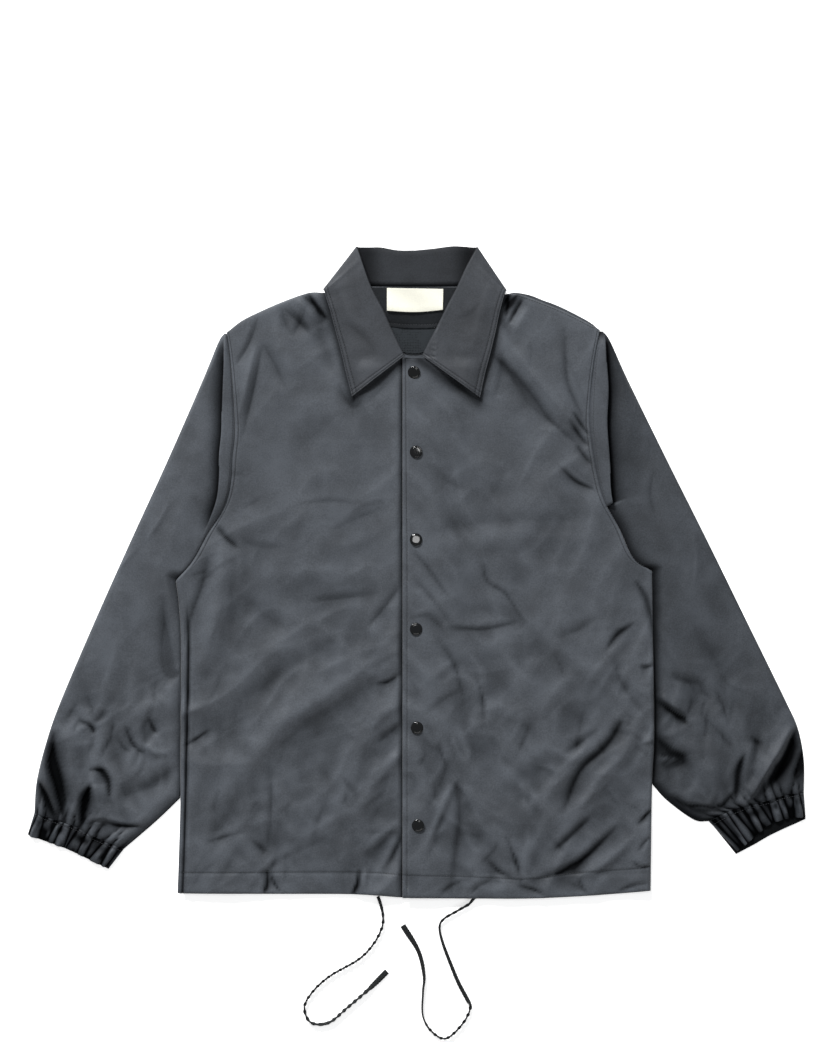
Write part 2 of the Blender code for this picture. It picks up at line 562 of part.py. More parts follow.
def add_folded_tube(name, plan, height, mouth, cloth):
    """A flattened tube with cloth all round, over a grid of plan points.

    Its first row is open up to the column numbered mouth and folded shut from there. Its last
    column is open too, and the other edges are folds.
    """
    rows, columns = plan.shape[:2]
    inset = plan.copy()
    inset[:, 0] += toward(plan[:, 0], plan[:, 1]) * SLEEVE_WALL
    inset[-1] += toward(plan[-1], plan[-2]) * SLEEVE_WALL
    inset[0, mouth:] += toward(plan[0, mouth:], plan[1, mouth:]) * SLEEVE_WALL
    zero = np.zeros_like(height)
    inner_top = np.maximum(height - SLEEVE_WALL, SLEEVE_WALL + GAP)
    layers = [np.dstack([plan, height]), np.dstack([plan, zero])]
    layers += [np.dstack([inset, inner_top]), np.dstack([inset, zero + SLEEVE_WALL])]
    count = rows * columns
    over, under, over_inner, under_inner = 0, count, 2 * count, 3 * count
    faces = []
    for row in range(rows - 1):
        for column in range(columns - 1):
            a = row * columns + column
            quad = (a, a + 1, a + columns + 1, a + columns)
            faces.append(tuple(over + corner for corner in quad))
            faces.append(tuple(under_inner + corner for corner in quad))
            faces.append(tuple(under + corner for corner in reversed(quad)))
            faces.append(tuple(over_inner + corner for corner in reversed(quad)))
    edge = [(column, column < mouth) for column in range(columns - 1)]
    edge += [(row * columns + columns - 1, True) for row in range(rows - 1)]
    edge += [((rows - 1) * columns + column, False) for column in range(columns - 1, 0, -1)]
    edge += [(row * columns, False) for row in range(rows - 1, 0, -1)]
    for (a, is_open), (b, opens_next) in zip(edge, edge[1:] + edge[:1]):
        if is_open:
            faces.append((over_inner + a, over_inner + b, over + b, over + a))
            faces.append((under + a, under + b, under_inner + b, under_inner + a))
        else:
            faces.append((under + a, under + b, over + b, over + a))
            faces.append((under_inner + b, under_inner + a, over_inner + a, over_inner + b))
        if is_open and not opens_next:
            faces.append((over + b, over_inner + b, under_inner + b, under + b))
        if opens_next and not is_open:
            faces.append((over + b, under + b, under_inner + b, over_inner + b))
    points = np.vstack([layer.reshape(-1, 3) for layer in layers])
    return add_mesh(name, points, faces, cloth)


def build_cuff(side, cloth):
    """A gathered cuff: pleats over, flat under, open at the hand end."""
    if side == "right":
        seam, hem, mouth = CUFF_SEAM_RIGHT, CUFF_HEM_RIGHT, CUFF_HEM_RIGHT
    else:
        seam, hem, mouth = CUFF_SEAM_LEFT, CUFF_HEM_LEFT, CUFF_MOUTH_LEFT
    pinches = CUFF_PLEATS[side]
    ridges = [(a + b) / 2 for a, b in zip(pinches, pinches[1:])]
    over_shares = np.array(sorted([0, 1] + pinches + ridges))
    is_ridge = np.isin(over_shares, ridges)
    under_shares = np.array([0.03, 0.2, 0.4, 0.58, 0.73, 0.87, 0.97])
    depth = np.array([0, 0.16, 0.6, 1.0])
    plans = []
    for shares, far in ((over_shares, mouth), (under_shares, hem)):
        near_line = along(soft_curve(seam), shares)
        far_line = along(soft_curve(far), shares)
        start = near_line + (far_line - near_line) * CUFF_START
        step = depth[:, None, None]
        plans.append(start[None] * (1 - step) + far_line[None] * step)
    swell = 1 + 0.10 * np.sin(np.pi * depth)[:, None]
    uneven = 1 + 0.22 * np.sin(np.arange(len(over_shares)) * 2.1)[None, :]
    height = CUFF_TOP * swell + np.where(is_ridge, 0.5, -0.5)[None, :] * PLEAT_DEPTH * uneven
    return flat_tube(f"cuff_{side}", plans[0], plans[1], height, SLEEVE_WALL, cloth)


def collar_ring(section, side):
    """Points round the cloth of one section of the collar."""
    seam = np.array([*section.seam, section.seam_z], float)
    roll = np.array([*section.roll, section.roll_z], float)
    edge = np.array([*section.edge, section.edge_z], float)
    sign = -1 if side == "right" else 1
    rise = roll - seam
    rise /= np.linalg.norm(rise)
    fall = edge - roll
    fall /= np.linalg.norm(fall)
    outward = np.array([sign * abs(rise[1]), -sign * rise[0] * np.sign(rise[1]), 0])
    turn = math.radians(section.turn)
    normal = math.cos(turn) * np.array([0, 0, 1.0]) + math.sin(turn) * outward
    stand_normal = normal - (normal @ rise) * rise
    stand_normal /= np.linalg.norm(stand_normal)
    leaf_normal = normal - (normal @ fall) * fall
    leaf_normal /= np.linalg.norm(leaf_normal)
    half = COLLAR_WALL / 2
    start = seam + rise * 0.5
    stand_end = roll - rise * ROLL_RADIUS * 1.6 - stand_normal * ROLL_RADIUS
    leaf_start = roll + fall * ROLL_RADIUS * 1.6 + leaf_normal * ROLL_RADIUS
    stand = [start] + [start + (stand_end - start) * s for s in STAND_STEPS] + [stand_end]
    leaf = [leaf_start] + [leaf_start + (edge - leaf_start) * s for s in LEAF_STEPS] + [edge]
    if section.turn == 0:
        leaf = [rest_on_front(point, side) for point in leaf]
    inner_face = [point - stand_normal * half for point in stand]
    over_roll = [roll - rise * 0.2 - stand_normal * 0.2 + (rise - fall) * 0.3]
    outer_face = [point + leaf_normal * half for point in leaf]
    lower_face = [point - leaf_normal * half for point in reversed(leaf)]
    crotch = [(stand_end + leaf_start) / 2 + (rise - fall) * 0.15]
    between = [point + stand_normal * half for point in reversed(stand)]
    return np.array(inner_face + over_roll + outer_face + lower_face + crotch + between)


def rest_on_front(point, side):
    """Raise a point of the leaf clear of the front that it lies on."""
    x, y = np.array([point[0]]), np.array([point[1]])
    floor = float(front_outside(x, y, side)[0]) + LEAF_CLEARANCE + COLLAR_WALL / 2
    inside_neck = abs(point[0]) < NECK_FRONT_X and y[0] > PLACKET_TOP_Y
    lifted = point.copy()
    if not inside_neck:
        lifted[2] = max(point[2], floor)
    return lifted


def build_collar(cloth):
    """The collar: one wall from the right front end round the neck to the left front end."""
    sections = [(row, "right") for row in COLLAR_RIGHT]
    sections += [(COLLAR_MIDDLE, "right")]
    sections += [(row, "left") for row in reversed(COLLAR_LEFT)]
    rings = [collar_ring(row, side) for row, side in sections]
    around = len(rings[0])
    faces = []
    for ring in range(len(rings) - 1):
        for k in range(around):
            after = (k + 1) % around
            near, far = ring * around, (ring + 1) * around
            faces.append((near + k, near + after, far + after, far + k))
    last = (len(rings) - 1) * around
    for k in range(around // 2 - 1):
        cap = (k, k + 1, around - 2 - k, around - 1 - k)
        faces.append(tuple(reversed(cap)))
        faces.append(tuple(last + corner for corner in cap))
    return add_mesh("collar", np.vstack(rings), faces, cloth)


def build_facing(cloth):
    """The facing inside the back of the neck."""
    low = along(soft_curve(FACING_LOW), np.linspace(0, 1, 10))
    high = np.array([(x, FACING_TOP_Y) for x in np.linspace(-80, 77, 10)])
    shares = np.linspace(0, 1, 5)[:, None, None]
    plan = low[None] * (1 - shares) + high[None] * shares
    inside = BACK_WALL + LINING_GAP + neck_lift(plan[..., 0], plan[..., 1])
    return add_wall("neck_facing", plan, inside, inside + LINING_WALL, cloth)


def build_lining(cloth):
    """The mesh lining, where it shows below the facing."""
    low = along(soft_curve(LINING_LOW), np.linspace(0, 1, 10))
    high = along(soft_curve(FACING_LOW), np.linspace(0, 1, 10)) - np.array([0, 0.6])
    shares = np.linspace(0, 1, 4)[:, None, None]
    plan = low[None] * (1 - shares) + high[None] * shares
    inside = BACK_WALL + LINING_GAP + neck_lift(plan[..., 0], plan[..., 1])
    return add_wall("mesh_lining", plan, inside, inside + LINING_WALL, cloth)


def build_label(cloth):
    """The bare label on the facing."""
    low_left, low_right, high_right, high_left = (np.array(c, float) for c in LABEL_CORNERS)
    u = np.linspace(0, 1, 6)[None, :, None]
    v = np.linspace(0, 1, 4)[:, None, None]
    plan = (1 - v) * ((1 - u) * low_left + u * low_right) + v * ((1 - u) * high_left + u * high_right)
    facing_top = BACK_WALL + LINING_GAP + LINING_WALL + neck_lift(plan[..., 0], plan[..., 1])
    inside = facing_top + GAP
    return add_wall("label", plan, inside, inside + LABEL_WALL, cloth)


def build_snap(index, centre, material):
    """A snap cap: a low dome with a rolled edge, turned about its own axis."""
    x, y = centre
    radius = SNAP_DIAMETER / 2
    reach = np.array([-radius, 0, radius])
    under = front_outside(x + reach, np.full(3, float(y)), "left").max() + GAP
    profile = [(radius - 0.6, 0), (radius, 0.8), (radius - 0.5, 1.8), (radius * 0.62, 2.9)]
    points = []
    for reach, height in profile:
        for step in range(SNAP_SIDES):
            turn = 2 * math.pi * step / SNAP_SIDES
            points.append((x + reach * math.cos(turn), y + reach * math.sin(turn), under + height))
    points.append((x, y, under + SNAP_HEIGHT))
    points.append((x, y, under))
    crown, base = len(points) - 2, len(points) - 1
    faces = []
    for ring in range(len(profile) - 1):
        for step in range(SNAP_SIDES):
            after = (step + 1) % SNAP_SIDES
            low, high = ring * SNAP_SIDES, (ring + 1) * SNAP_SIDES
            faces.append((low + step, low + after, high + after, high + step))
    last = (len(profile) - 1) * SNAP_SIDES
    for step in range(SNAP_SIDES):
        after = (step + 1) % SNAP_SIDES
        faces.append((last + step, last + after, crown))
        faces.append((after, step, base))
    return add_mesh(f"snap_{index}", points, faces, material)


def build_cord(side, route, material):
    """A free end of the drawcord: out of the hem, down to the floor and along it."""
    plan = along(soft_curve(route), np.linspace(0, 1, CORD_POINTS))
    gone = np.concatenate([[0], np.cumsum(np.linalg.norm(np.diff(plan, axis=0), axis=1))])
    drop = soft_step(gone / CORD_DROP)
    heights = CORD_EXIT_Z + (CORD_RADIUS + 0.05 - CORD_EXIT_Z) * drop
    curve = bpy.data.curves.new(f"cord_{side}", "CURVE")
    curve.dimensions = "3D"
    curve.bevel_depth = CORD_RADIUS * MM
    curve.bevel_resolution = 2
    curve.use_fill_caps = True
    line = curve.splines.new("POLY")
    line.points.add(len(plan) - 1)
    for point, (x, y), z in zip(line.points, plan, heights):
        point.co = (x * MM, y * MM, z * MM, 1)
    curve.materials.append(material)
    cord = bpy.data.objects.new(f"cord_{side}", curve)
    bpy.context.collection.objects.link(cord)
    return cord


def main():
    for old in list(bpy.data.objects):
        bpy.data.objects.remove(old, do_unlink=True)
    shell_color = (0.085, 0.095, 0.108)
    build_back(material_for("back_cloth", shell_color, 0.62))
    build_front_right(material_for("front_right_cloth", shell_color, 0.62))
    build_front_left(material_for("front_left_cloth", shell_color, 0.62))
    for side in ("right", "left"):
        build_sleeve(side, material_for(f"sleeve_{side}_cloth", shell_color, 0.62))
        build_cuff(side, material_for(f"cuff_{side}_cloth", shell_color, 0.65))
    build_collar(material_for("collar_cloth", (0.07, 0.078, 0.09), 0.6))
    build_facing(material_for("facing_cloth", (0.06, 0.068, 0.078), 0.65))
    build_lining(material_for("lining_mesh", (0.02, 0.024, 0.028), 0.8))
    build_label(material_for("label_cloth", (0.84, 0.83, 0.72), 0.7))
    for index, place in enumerate(SNAP_PLACES, start=1):
        build_snap(index, place, material_for(f"snap_{index}_enamel", (0.012, 0.013, 0.015), 0.25))
    build_cord("right", CORD_ROUTE_RIGHT, material_for("cord_right_braid", (0.05, 0.055, 0.06), 0.8))
    build_cord("left", CORD_ROUTE_LEFT, material_for("cord_left_braid", (0.05, 0.055, 0.06), 0.8))


main()
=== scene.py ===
"""Looks of the coach jacket: thin cloth with its folds, seams, gathers, snaps and cords.

Left and right are the wearer's. Tables are in millimetres, in the frame of the CAD: +X to the wearer's
left, +Y from hem to collar, and z = 0 is the surface that the jacket lies on.
"""

import math
from collections import namedtuple

import bmesh
import bpy
import numpy as np
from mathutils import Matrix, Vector

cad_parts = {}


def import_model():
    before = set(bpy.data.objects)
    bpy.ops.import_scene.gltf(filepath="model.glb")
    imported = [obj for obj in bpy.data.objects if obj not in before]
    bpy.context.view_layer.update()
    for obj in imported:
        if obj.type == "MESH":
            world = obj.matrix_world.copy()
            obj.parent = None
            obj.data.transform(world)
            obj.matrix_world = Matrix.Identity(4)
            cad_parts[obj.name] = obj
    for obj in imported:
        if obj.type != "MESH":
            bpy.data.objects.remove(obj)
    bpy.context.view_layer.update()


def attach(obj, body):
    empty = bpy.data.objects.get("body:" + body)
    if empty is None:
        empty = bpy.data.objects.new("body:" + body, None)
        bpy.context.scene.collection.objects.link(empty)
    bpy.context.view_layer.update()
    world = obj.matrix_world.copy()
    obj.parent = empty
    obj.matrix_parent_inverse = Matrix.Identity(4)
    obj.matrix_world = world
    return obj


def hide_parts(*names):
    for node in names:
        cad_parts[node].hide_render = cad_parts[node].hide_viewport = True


MM = 0.001
SIDES = ("right", "left")

# Spacing of the cloth's points, and the size of the lattice behind the smooth noise.
STEP = 2.6
LATTICE = 64

# Heights of the layers and the thickness of their shells.
SHELL = 0.5
COLLAR_SHELL = 1.0
LABEL_SHELL = 0.7
BACK_TOP = 1.6
LINING_TOP = 3.3
FRONT_TOP = 6.1
SLEEVE_TOP = 4.7
SLEEVE_LOWEST = 1.3
SLEEVE_EDGE = 1.2
SEAM_HEIGHT = 4.8
PLACKET_RISE = 3.8
STRIP_RISE = 6.5
CASING_EXTRA = 0.6
NECK_LIFT = 1.85

# Sizes and places of the seams, the collar and the snaps.
CASING_TOP_Y = -360.0
CASING_DEPTH = 25.0
HEM_STITCH = CASING_DEPTH * 1.04
CENTRE_HEM_Y = -390.4
# How far the left front's hem dips at each x.
HEM_DIP = ([-17, 60, 126, 165, 204, 280], [0, -1, -4, -1, 2.6, 3.6])
FRONT_WIDTH = 262.0
NECK_FROM = 0.83
PLACKET_LEFT_X = -17.4
PLACKET_TOP_Y = 257.0
UNDER_PLACKET_X = 12.0
PLACKET_STITCH = 4.8
ARMHOLE_STITCH = 5.0
CUFF_STITCH = 3.0
FACING_STITCH = 4
FACING_DEPTH = 45
LINING_DEPTH = 30
LABEL_WIDTH = 67
LABEL_DEPTH = 26
SIDE_CREASE = 9.0
SLEEVE_LAP = 0.7
CUFF_WIDTH = 110
COLLAR_WALL = 1.5
ROLL_RADIUS = 1.2
LEAF_WIDTH = 76.0
LEAF_CLEARANCE = 1.1
LEAF_STITCHES = (2.0, 7.0)
FRONT_END = 30.0
SNAP_DIAMETER = 15.0
SNAP_PLACES = [(-3.6, 239), (-1.2, 144), (-1.2, 39), (-1.2, -68), (0, -186), (1.2, -303)]
SNAP_TILTS = [(7, -5), (-2, -3), (-7.2, 1.4), (-1, 4), (4, 2), (3, -3)]

# How strongly the folds stand out, and the width below which a fold is crisp.
FRONT_FOLDS = 1.08
SLEEVE_FOLDS = 2.1
CRISP_WIDTH = 13

# Outlines, as points of soft curves.
HEM = {
    "right": [(-283, -383), (-278, -385), (-180, -385.6), (-68, -386.4), (-16, -390), (14, -390.5)],
    "left": [(-17.4, -390.4), (60, -391), (136, -391), (208, -387.6), (256, -384), (280, -381.6)],
}
SIDE = {
    "right": [(-283, -383), (-283.5, -240), (-283, -97), (-285, -45), (-289, -10)],
    "left": [(280, -381.6), (281.6, -262), (284.4, -192), (283, -77), (282, 1)],
}
ARMHOLE = {
    "right": [
        (-289, -10), (-268, 14), (-252, 43), (-232, 77), (-224, 104), (-221, 136), (-218, 172),
        (-222, 242), (-228, 287)
    ],
    "left": [
        (282, 1), (259, 17), (242, 53), (224, 86), (215, 120), (208, 164), (207, 194), (211, 243),
        (219, 290)
    ],
}
SHOULDER = {
    "right": [
        (-228, 287), (-210, 301), (-188, 312), (-164, 322.5), (-140, 331.5), (-126, 335), (-110, 334.5),
        (-98, 336.5), (-86, 343)
    ],
    "left": [
        (219, 290), (211, 294.6), (179, 311), (150, 323), (123, 332.5), (105, 332), (94, 336), (83, 343)
    ],
}
SHOULDER_LEFT_BACK = [
    (219, 290), (205, 301), (172, 318), (151, 326), (135.6, 332), (117.6, 335), (105, 333), (94, 336.5),
    (83, 343)
]
NECK = {
    "right": [
        (12, 255.8), (-20, 256), (-38, 262.5), (-54, 276), (-67, 295), (-76, 314), (-81.5, 331),
        (-86, 343)
    ],
    "left": [(-17.4, 257), (11, 256.5), (29, 263), (45, 277), (58, 296), (68, 315), (76, 331), (83, 343)],
}
NECK_BACK = [(-86, 343), (-50, 342), (-17, 341.7), (15, 341.7), (47, 342), (83, 343)]
SLEEVE_OUTER = {
    "right": [
        (-230, 287), (-238, 276), (-257, 230), (-299, 134), (-343, 38), (-386, -58), (-427, -154),
        (-444, -202), (-456, -250), (-459, -289)
    ],
    "left": [
        (222, 289.5), (231.6, 277), (253, 230), (300, 134), (348, 38), (395, -58), (442, -154),
        (457, -188), (464, -226), (464, -265)
    ],
}
SLEEVE_BESIDE = {
    "right": [(-288, -10), (-283.8, -45), (-281.8, -97), (-282.3, -240), (-284, -271)],
    "left": [(281, 1), (281.8, -77), (283.2, -192), (281.6, -254)],
}
UNDERARM = {
    "right": [(-284, -271), (-312, -298), (-351.5, -332)],
    "left": [(281.6, -254), (300, -274), (332, -297), (350, -299)],
}
CUFF_SEAM = {
    "right": [(-459, -289), (-428, -299), (-409, -305.5), (-393, -314.5), (-375, -322.5), (-351.5, -332)],
    "left": [(464, -265), (443, -267), (418, -275), (399, -279), (376, -286), (350, -299)],
}
CUFF_HEM = {
    "right": [(-467, -315), (-444, -323.5), (-422.6, -331), (-397, -343), (-370, -356)],
    "left": [(466.5, -296), (427, -314), (404, -327), (382, -338.5)],
}
CUFF_MOUTH_LEFT = [(466, -293), (444, -296), (426, -301), (406, -316), (384, -335)]

# Where the pleats of each cuff pinch in, as fractions of its width from the outer fold.
CUFF_PLEATS = {
    "right": [0.03, 0.12, 0.25, 0.32, 0.42, 0.48, 0.59, 0.675, 0.775, 0.88, 0.96],
    "left": [0.04, 0.12, 0.21, 0.28, 0.38, 0.46, 0.55, 0.64, 0.73, 0.81, 0.89, 0.96],
}

Fold = namedtuple("Fold", "points width height")


def folds(*rows):
    """Folds from rows of width, height, and then x and y of each point of the fold's line."""
    return [Fold(list(zip(row[2::2], row[3::2])), row[0], row[1]) for row in rows]


# Folds that stand up (height above 0) or sink in (below 0). A ridge's points are on its lit slope and
# a hollow's on its dark slope, as they show from above.
FOLDS_FRONT = {
    "right": folds(
        (24, 5.2, -20, -80, -72, -112, -124, -146, -167, -175, -202, -221, -239, -258),
        (14, -1.6, -37, -112, -83, -146, -136, -180, -169, -200, -196, -235, -233, -293, -253, -313),
        (16, -2.4, -95, -71, -140, -100, -181, -128, -210, -146),
        (14, 4.6, -234, 40, -238, -19, -250, -77, -266, -116),
        (8, -2.2, -251, 22, -259, -13, -274, -56, -280, -91),
        (14, -1.5, -225, 10, -222, -30, -224, -60),
        (14, -1.5, -204, -28, -184, -48, -161, -62),
        (10, -1.8, -130, -31, -90, -27, -52, -22),
        (16, 1.8, -190, 4, -120, 8, -50, 2),
        (7, -2, -60, -62, -42, -42, -20, -12),
        (4.5, -2.4, -50, -132, -36, -130, -17, -118),
        (7, -1.8, -50, -204, -34, -190, -17, -178),
        (9, 1.8, -70, -210, -50, -178, -18, -150),
        (4, -2.2, -278, -206, -266, -199, -250, -188),
        (6, -1.5, -176, -238, -176, -285, -180, -330),
        (4, -1.4, -252, -322, -232, -316, -212, -310),
        (5, -1.6, -200, -318, -188, -328, -180, -334),
        (9, -1, -178, -350, -150, -334, -112, -317),
        (6, -1.3, -95, -236, -82, -254, -70, -270),
        (5, 1.4, -72, -284, -60, -272, -48, -262),
        (7, -3.2, -17, -305, -24, -325, -37, -350),
        (10, 3.2, -66, -330, -46, -312, -22, -298),
        (3.4, 1.6, -280, -60, -279.5, -240, -279.5, -380),
        (3.5, -3.6, -180, -357, -180, -372, -186, -386),
        (3.5, -2.4, -176, -360, -170, -374, -162, -384),
        (3.5, -3.6, -70, -356, -72, -372, -80, -386),
        (5, 2.6, -62, -354, -66, -370, -68, -386),
        (5.5, -2.2, -192, 304, -202, 276, -216, 252),
        (6.5, -2.6, -187, 272, -196, 225, -211, 160),
        (6, 2, -196, 270, -205, 225, -214, 190),
        (9, -2.2, -185, 276, -172, 252, -158, 222),
        (6, -1.5, -163, 318, -158, 300, -150, 285),
        (10, 1.6, -172, 300, -160, 262, -150, 240),
        (7, -1.4, -132, 320, -142, 300, -150, 284),
        (18, -1.2, -101, 191, -124, 172, -148, 150),
        (6, -0.9, -140, 84, -105, 87, -71, 84),
        (5, -3, -240, 56, -230, 44, -214, 30),
        (9, -0.9, -214, 42, -190, 34, -160, 32),
        (5, -3.8, -136, 332, -124, 322, -113, 309),
        (8, 3.6, -146, 330, -132, 316, -122, 300),
        (7, -2.4, -160, 318, -142, 302, -128, 286),
        (13, -2.6, -112, 312, -118, 290, -108, 262, -98, 240),
        (11, -2.6, -96, 232, -90, 216, -78, 202, -66, 208),
        (9, -2, -60, 206, -34, 232, -18, 246),
        (46, 1.6, -120, 10, -135, 70, -110, 150),
    ),
    "left": folds(
        (9, -4.2, 88, 264, 106, 248, 125, 225, 154, 189, 190, 157),
        (12, 3.2, 112, 275, 132, 247, 165, 207, 205, 165),
        (6.5, -2.6, 176, 292, 179, 234, 190, 204, 204, 176),
        (3.6, -2.6, 188, 192, 196, 178, 206, 164),
        (3.6, -2.4, 184, 182, 194, 166, 205, 152),
        (4, -2.2, 192, 152, 200, 140, 210, 130),
        (4.5, -2.6, 172, 126, 190, 110, 212, 100),
        (14, -1.5, 20, 50, 40, 60, 58, 62, 105, 66, 217, 70),
        (16, 1.4, 30, 42, 70, 46, 140, 50, 220, 48),
        (10, -1.7, 4, 128, 24, 118, 54, 102),
        (22, 1.2, 30, 170, 60, 145, 100, 120),
        (5, -1.8, 78, 10, 84, -10, 106, -25, 127, -58),
        (6, -1.9, 37, -65, 78, -66, 118, -58),
        (18, -1.8, 60, -36, 100, -44, 140, -66),
        (22, -2.4, 122, -62, 150, -92, 178, -120),
        (12, -1.8, 160, -76, 188, -66, 214, -50),
        (10, 2, 200, -130, 222, -104, 256, -62),
        (6, -2.6, 226, -90, 240, -72, 258, -60),
        (5, -3, 262, -10, 274, -30, 280, -56, 282, -77),
        (4.5, -3, 266, -111, 274, -112, 283, -110),
        (9, -2, 236, -100, 240, -120, 252, -142, 276, -172),
        (5, 1.6, 250, -110, 262, -134, 280, -150),
        (11, -5.4, 243, -172, 239, -182, 224, -206, 193, -235, 175, -280),
        (12, 4.2, 262, -180, 246, -212, 214, -246, 190, -290),
        (8, -2, 214, -186, 196, -200, 176, -214),
        (9, -3.8, 206, -290, 184, -312, 162, -330),
        (9, -5.6, 236, -303, 204, -336, 181, -352, 140, -366),
        (9, 3.2, 258, -312, 222, -346, 190, -362),
        (4, -3, 284, -280, 274, -290, 264, -300),
        (5, 2.2, 284, -197, 276, -200, 268, -203),
        (3.5, -2, 264, -332, 272, -322, 282, -314),
        (4, -2.4, 258, -345, 268, -352, 282, -350),
        (4, -1.8, -4, 26, 14, 4, 38, -30),
        (5, -1.8, -2, -8, 14, -26, 40, -60),
        (7, -2.6, 2, -50, 16, -52, 29, -66),
        (6, -2.2, 17, -71, 36, -96, 46, -114, 54, -146),
        (5, -1.9, 70, -126, 78, -150, 79, -182),
        (8, 1.8, 4, -134, 26, -116, 44, -100),
        (8, -1.3, 6, -170, 30, -150, 50, -140),
        (6, -2.4, 24, -206, 33, -226, 31, -240, 22, -262, 12, -278),
        (4.5, -1.8, 0, -232, 8, -222, 18, -210),
        (4.5, 3.6, 44, -248, 30, -280, 17, -310, 4, -352),
        (11, -1.8, 46, -250, 50, -290, 46, -322, 38, -386),
        (14, 1.6, 100, -244, 120, -226, 146, -210),
        (4.5, -2.2, 124, -370, 118, -345, 105, -314),
        (5, -2, 124, -370, 100, -358, 82, -342),
        (9, 1.8, 130, -372, 128, -345, 134, -300),
        (4, -2.4, 122, -374, 142, -380, 160, -390),
        (6, -2.4, 60, -388, 70, -376, 88, -366),
        (5, -2, 24, -389, 36, -376, 52, -368),
        (4, -1.8, 192, -366, 198, -376, 206, -386),
        (4.5, -2.2, 240, -380, 256, -374, 276, -370),
        (4.5, -4.4, 110, 334, 108, 322, 107, 306),
        (4.5, -4, 126, 328, 118, 314, 110, 300),
        (9, 1.6, 132, 322, 124, 306, 114, 290),
        (9, -3.4, 60, 218, 42, 236, 24, 250),
        (10, -2.2, 92, 214, 98, 236, 100, 262),
        (40, 1.6, 90, 120, 140, 96, 190, 124),
    ),
}
FOLDS_SLEEVE = {
    "right": folds(
        (7, -5.2, -437, -192, -439, -223, -431, -255, -425, -294),
        (5, 3.4, -446, -214, -446, -240, -436, -270, -428, -296),
        (4.5, -4.2, -454, -250, -445, -271, -433, -296),
        (9, 3, -419, -200, -414, -240, -408, -284),
        (6, -5, -392, -254, -399, -271, -404, -302),
        (7, 3.2, -388, -250, -384, -272, -378, -292),
        (4.5, -2.8, -391, -235, -379, -237, -371, -250, -369, -268),
        (7, 2.2, -376, -228, -364, -246, -360, -272),
        (4, -2, -404, -177, -392, -183, -387, -193),
        (8, -1.5, -364, -176, -370, -198, -383, -222),
        (5.5, -1.6, -350, -184, -342, -204, -328, -216),
        (6, 1.6, -328, -204, -314, -214, -300, -214),
        (4.5, -1.5, -321, -174, -318, -184, -312, -192),
        (13, -2, -350, -262, -322, -252, -306, -240, -288, -228),
        (12, -2.6, -306, -30, -303, -80, -299, -110, -286, -122),
        (4, -2, -300, -110, -294, -117, -285, -121),
        (4, -2.2, -372, -297, -352, -303, -332, -303),
        (4.5, 1.8, -398, -298, -380, -292, -356, -300),
        (12, -1.3, -397, -142, -392, -160, -386, -178),
        (14, 1.6, -300, -150, -330, -160, -352, -180),
        (30, 1.8, -262, 170, -296, 60, -345, -60),
    ),
    "left": folds(
        (8, 4.6, 448, -182, 430, -212, 412, -242, 392, -275),
        (7, -4, 452, -188, 446, -212, 434, -232, 420, -252),
        (4.5, -3.4, 466, -210, 460, -226, 451, -244),
        (8, -3.4, 286, -195, 300, -212, 313, -220, 290, -230),
        (6, 2.8, 284, -143, 302, -156, 322, -168),
        (6, -2.4, 288, -152, 306, -166, 324, -180),
        (6, -3.2, 305, -268, 324, -278, 345, -281, 363, -280, 379, -262),
        (5, -2.6, 390, -218, 384, -240, 381, -273),
        (7, 2.2, 400, -200, 394, -226, 388, -262),
        (12, 2, 346, -190, 352, -225, 356, -262),
        (12, -1.8, 300, -120, 330, -130, 352, -150),
        (30, 1.8, 262, 170, 300, 60, 345, -60),
        (16, -1.6, 330, -60, 360, -110, 372, -170),
    ),
}
FOLDS_COLLAR = folds(
    (9, -1.6, -84, 300, -62, 282, -48, 262),
    (12, 1.4, -92, 340, -80, 310, -60, 296),
    (9, -1.3, -70, 380, -76, 352, -70, 326),
    (9, -1.5, 66, 372, 56, 334, 42, 300),
    (6, -1, 78, 326, 64, 312, 50, 306),
    (12, 1.3, 84, 350, 74, 320, 66, 280),
)

# Lines where little light gets in, as folds whose height is the tone that they take away.
SHADOWS_FRONT = {
    "right": folds(
        (3.2, -1.3, -131, 335, -123, 323, -111, 308),
        (4, -0.9, -121, 318, -115, 311, -107, 305),
        (4, -0.4, -152, 318, -138, 302, -126, 288),
        (2.3, -1.1, -181, -364, -181, -376, -184, -390),
        (2.3, -1.1, -70, -366, -73, -376, -78, -390),
        (4, -0.5, -17, -305, -24, -325, -37, -350),
    ),
    "left": folds(
        (3.2, -1.3, 104, 313, 112, 324, 122, 336),
        (3, -1.1, 102, 318, 107, 328, 112, 337),
        (6, -0.45, 92, 262, 106, 246, 125, 224, 150, 194),
        (2.8, -0.6, 186, 194, 196, 179, 206, 165),
        (2.8, -0.6, 182, 184, 192, 167, 204, 153),
        (2.8, -0.5, 190, 154, 200, 140, 210, 128),
        (3, -0.55, 172, 127, 190, 111, 212, 100),
        (7, -0.6, 243, -172, 236, -190, 222, -208, 193, -238, 175, -280),
        (6, -0.5, 208, -288, 184, -312, 162, -332),
        (6, -0.7, 236, -303, 204, -336, 181, -354, 140, -368),
        (3, -0.6, 284, -280, 274, -290, 262, -302),
        (3.6, -0.5, 226, -90, 240, -72, 258, -60),
        (3.4, -0.6, 262, -10, 274, -30, 281, -56, 283, -77),
        (5, -0.4, 46, -250, 50, -290, 46, -322, 38, -386),
        (4, -0.25, 38, -62, 78, -67, 118, -58),
        (4, -0.4, 2, -50, 16, -53, 30, -67),
    ),
}
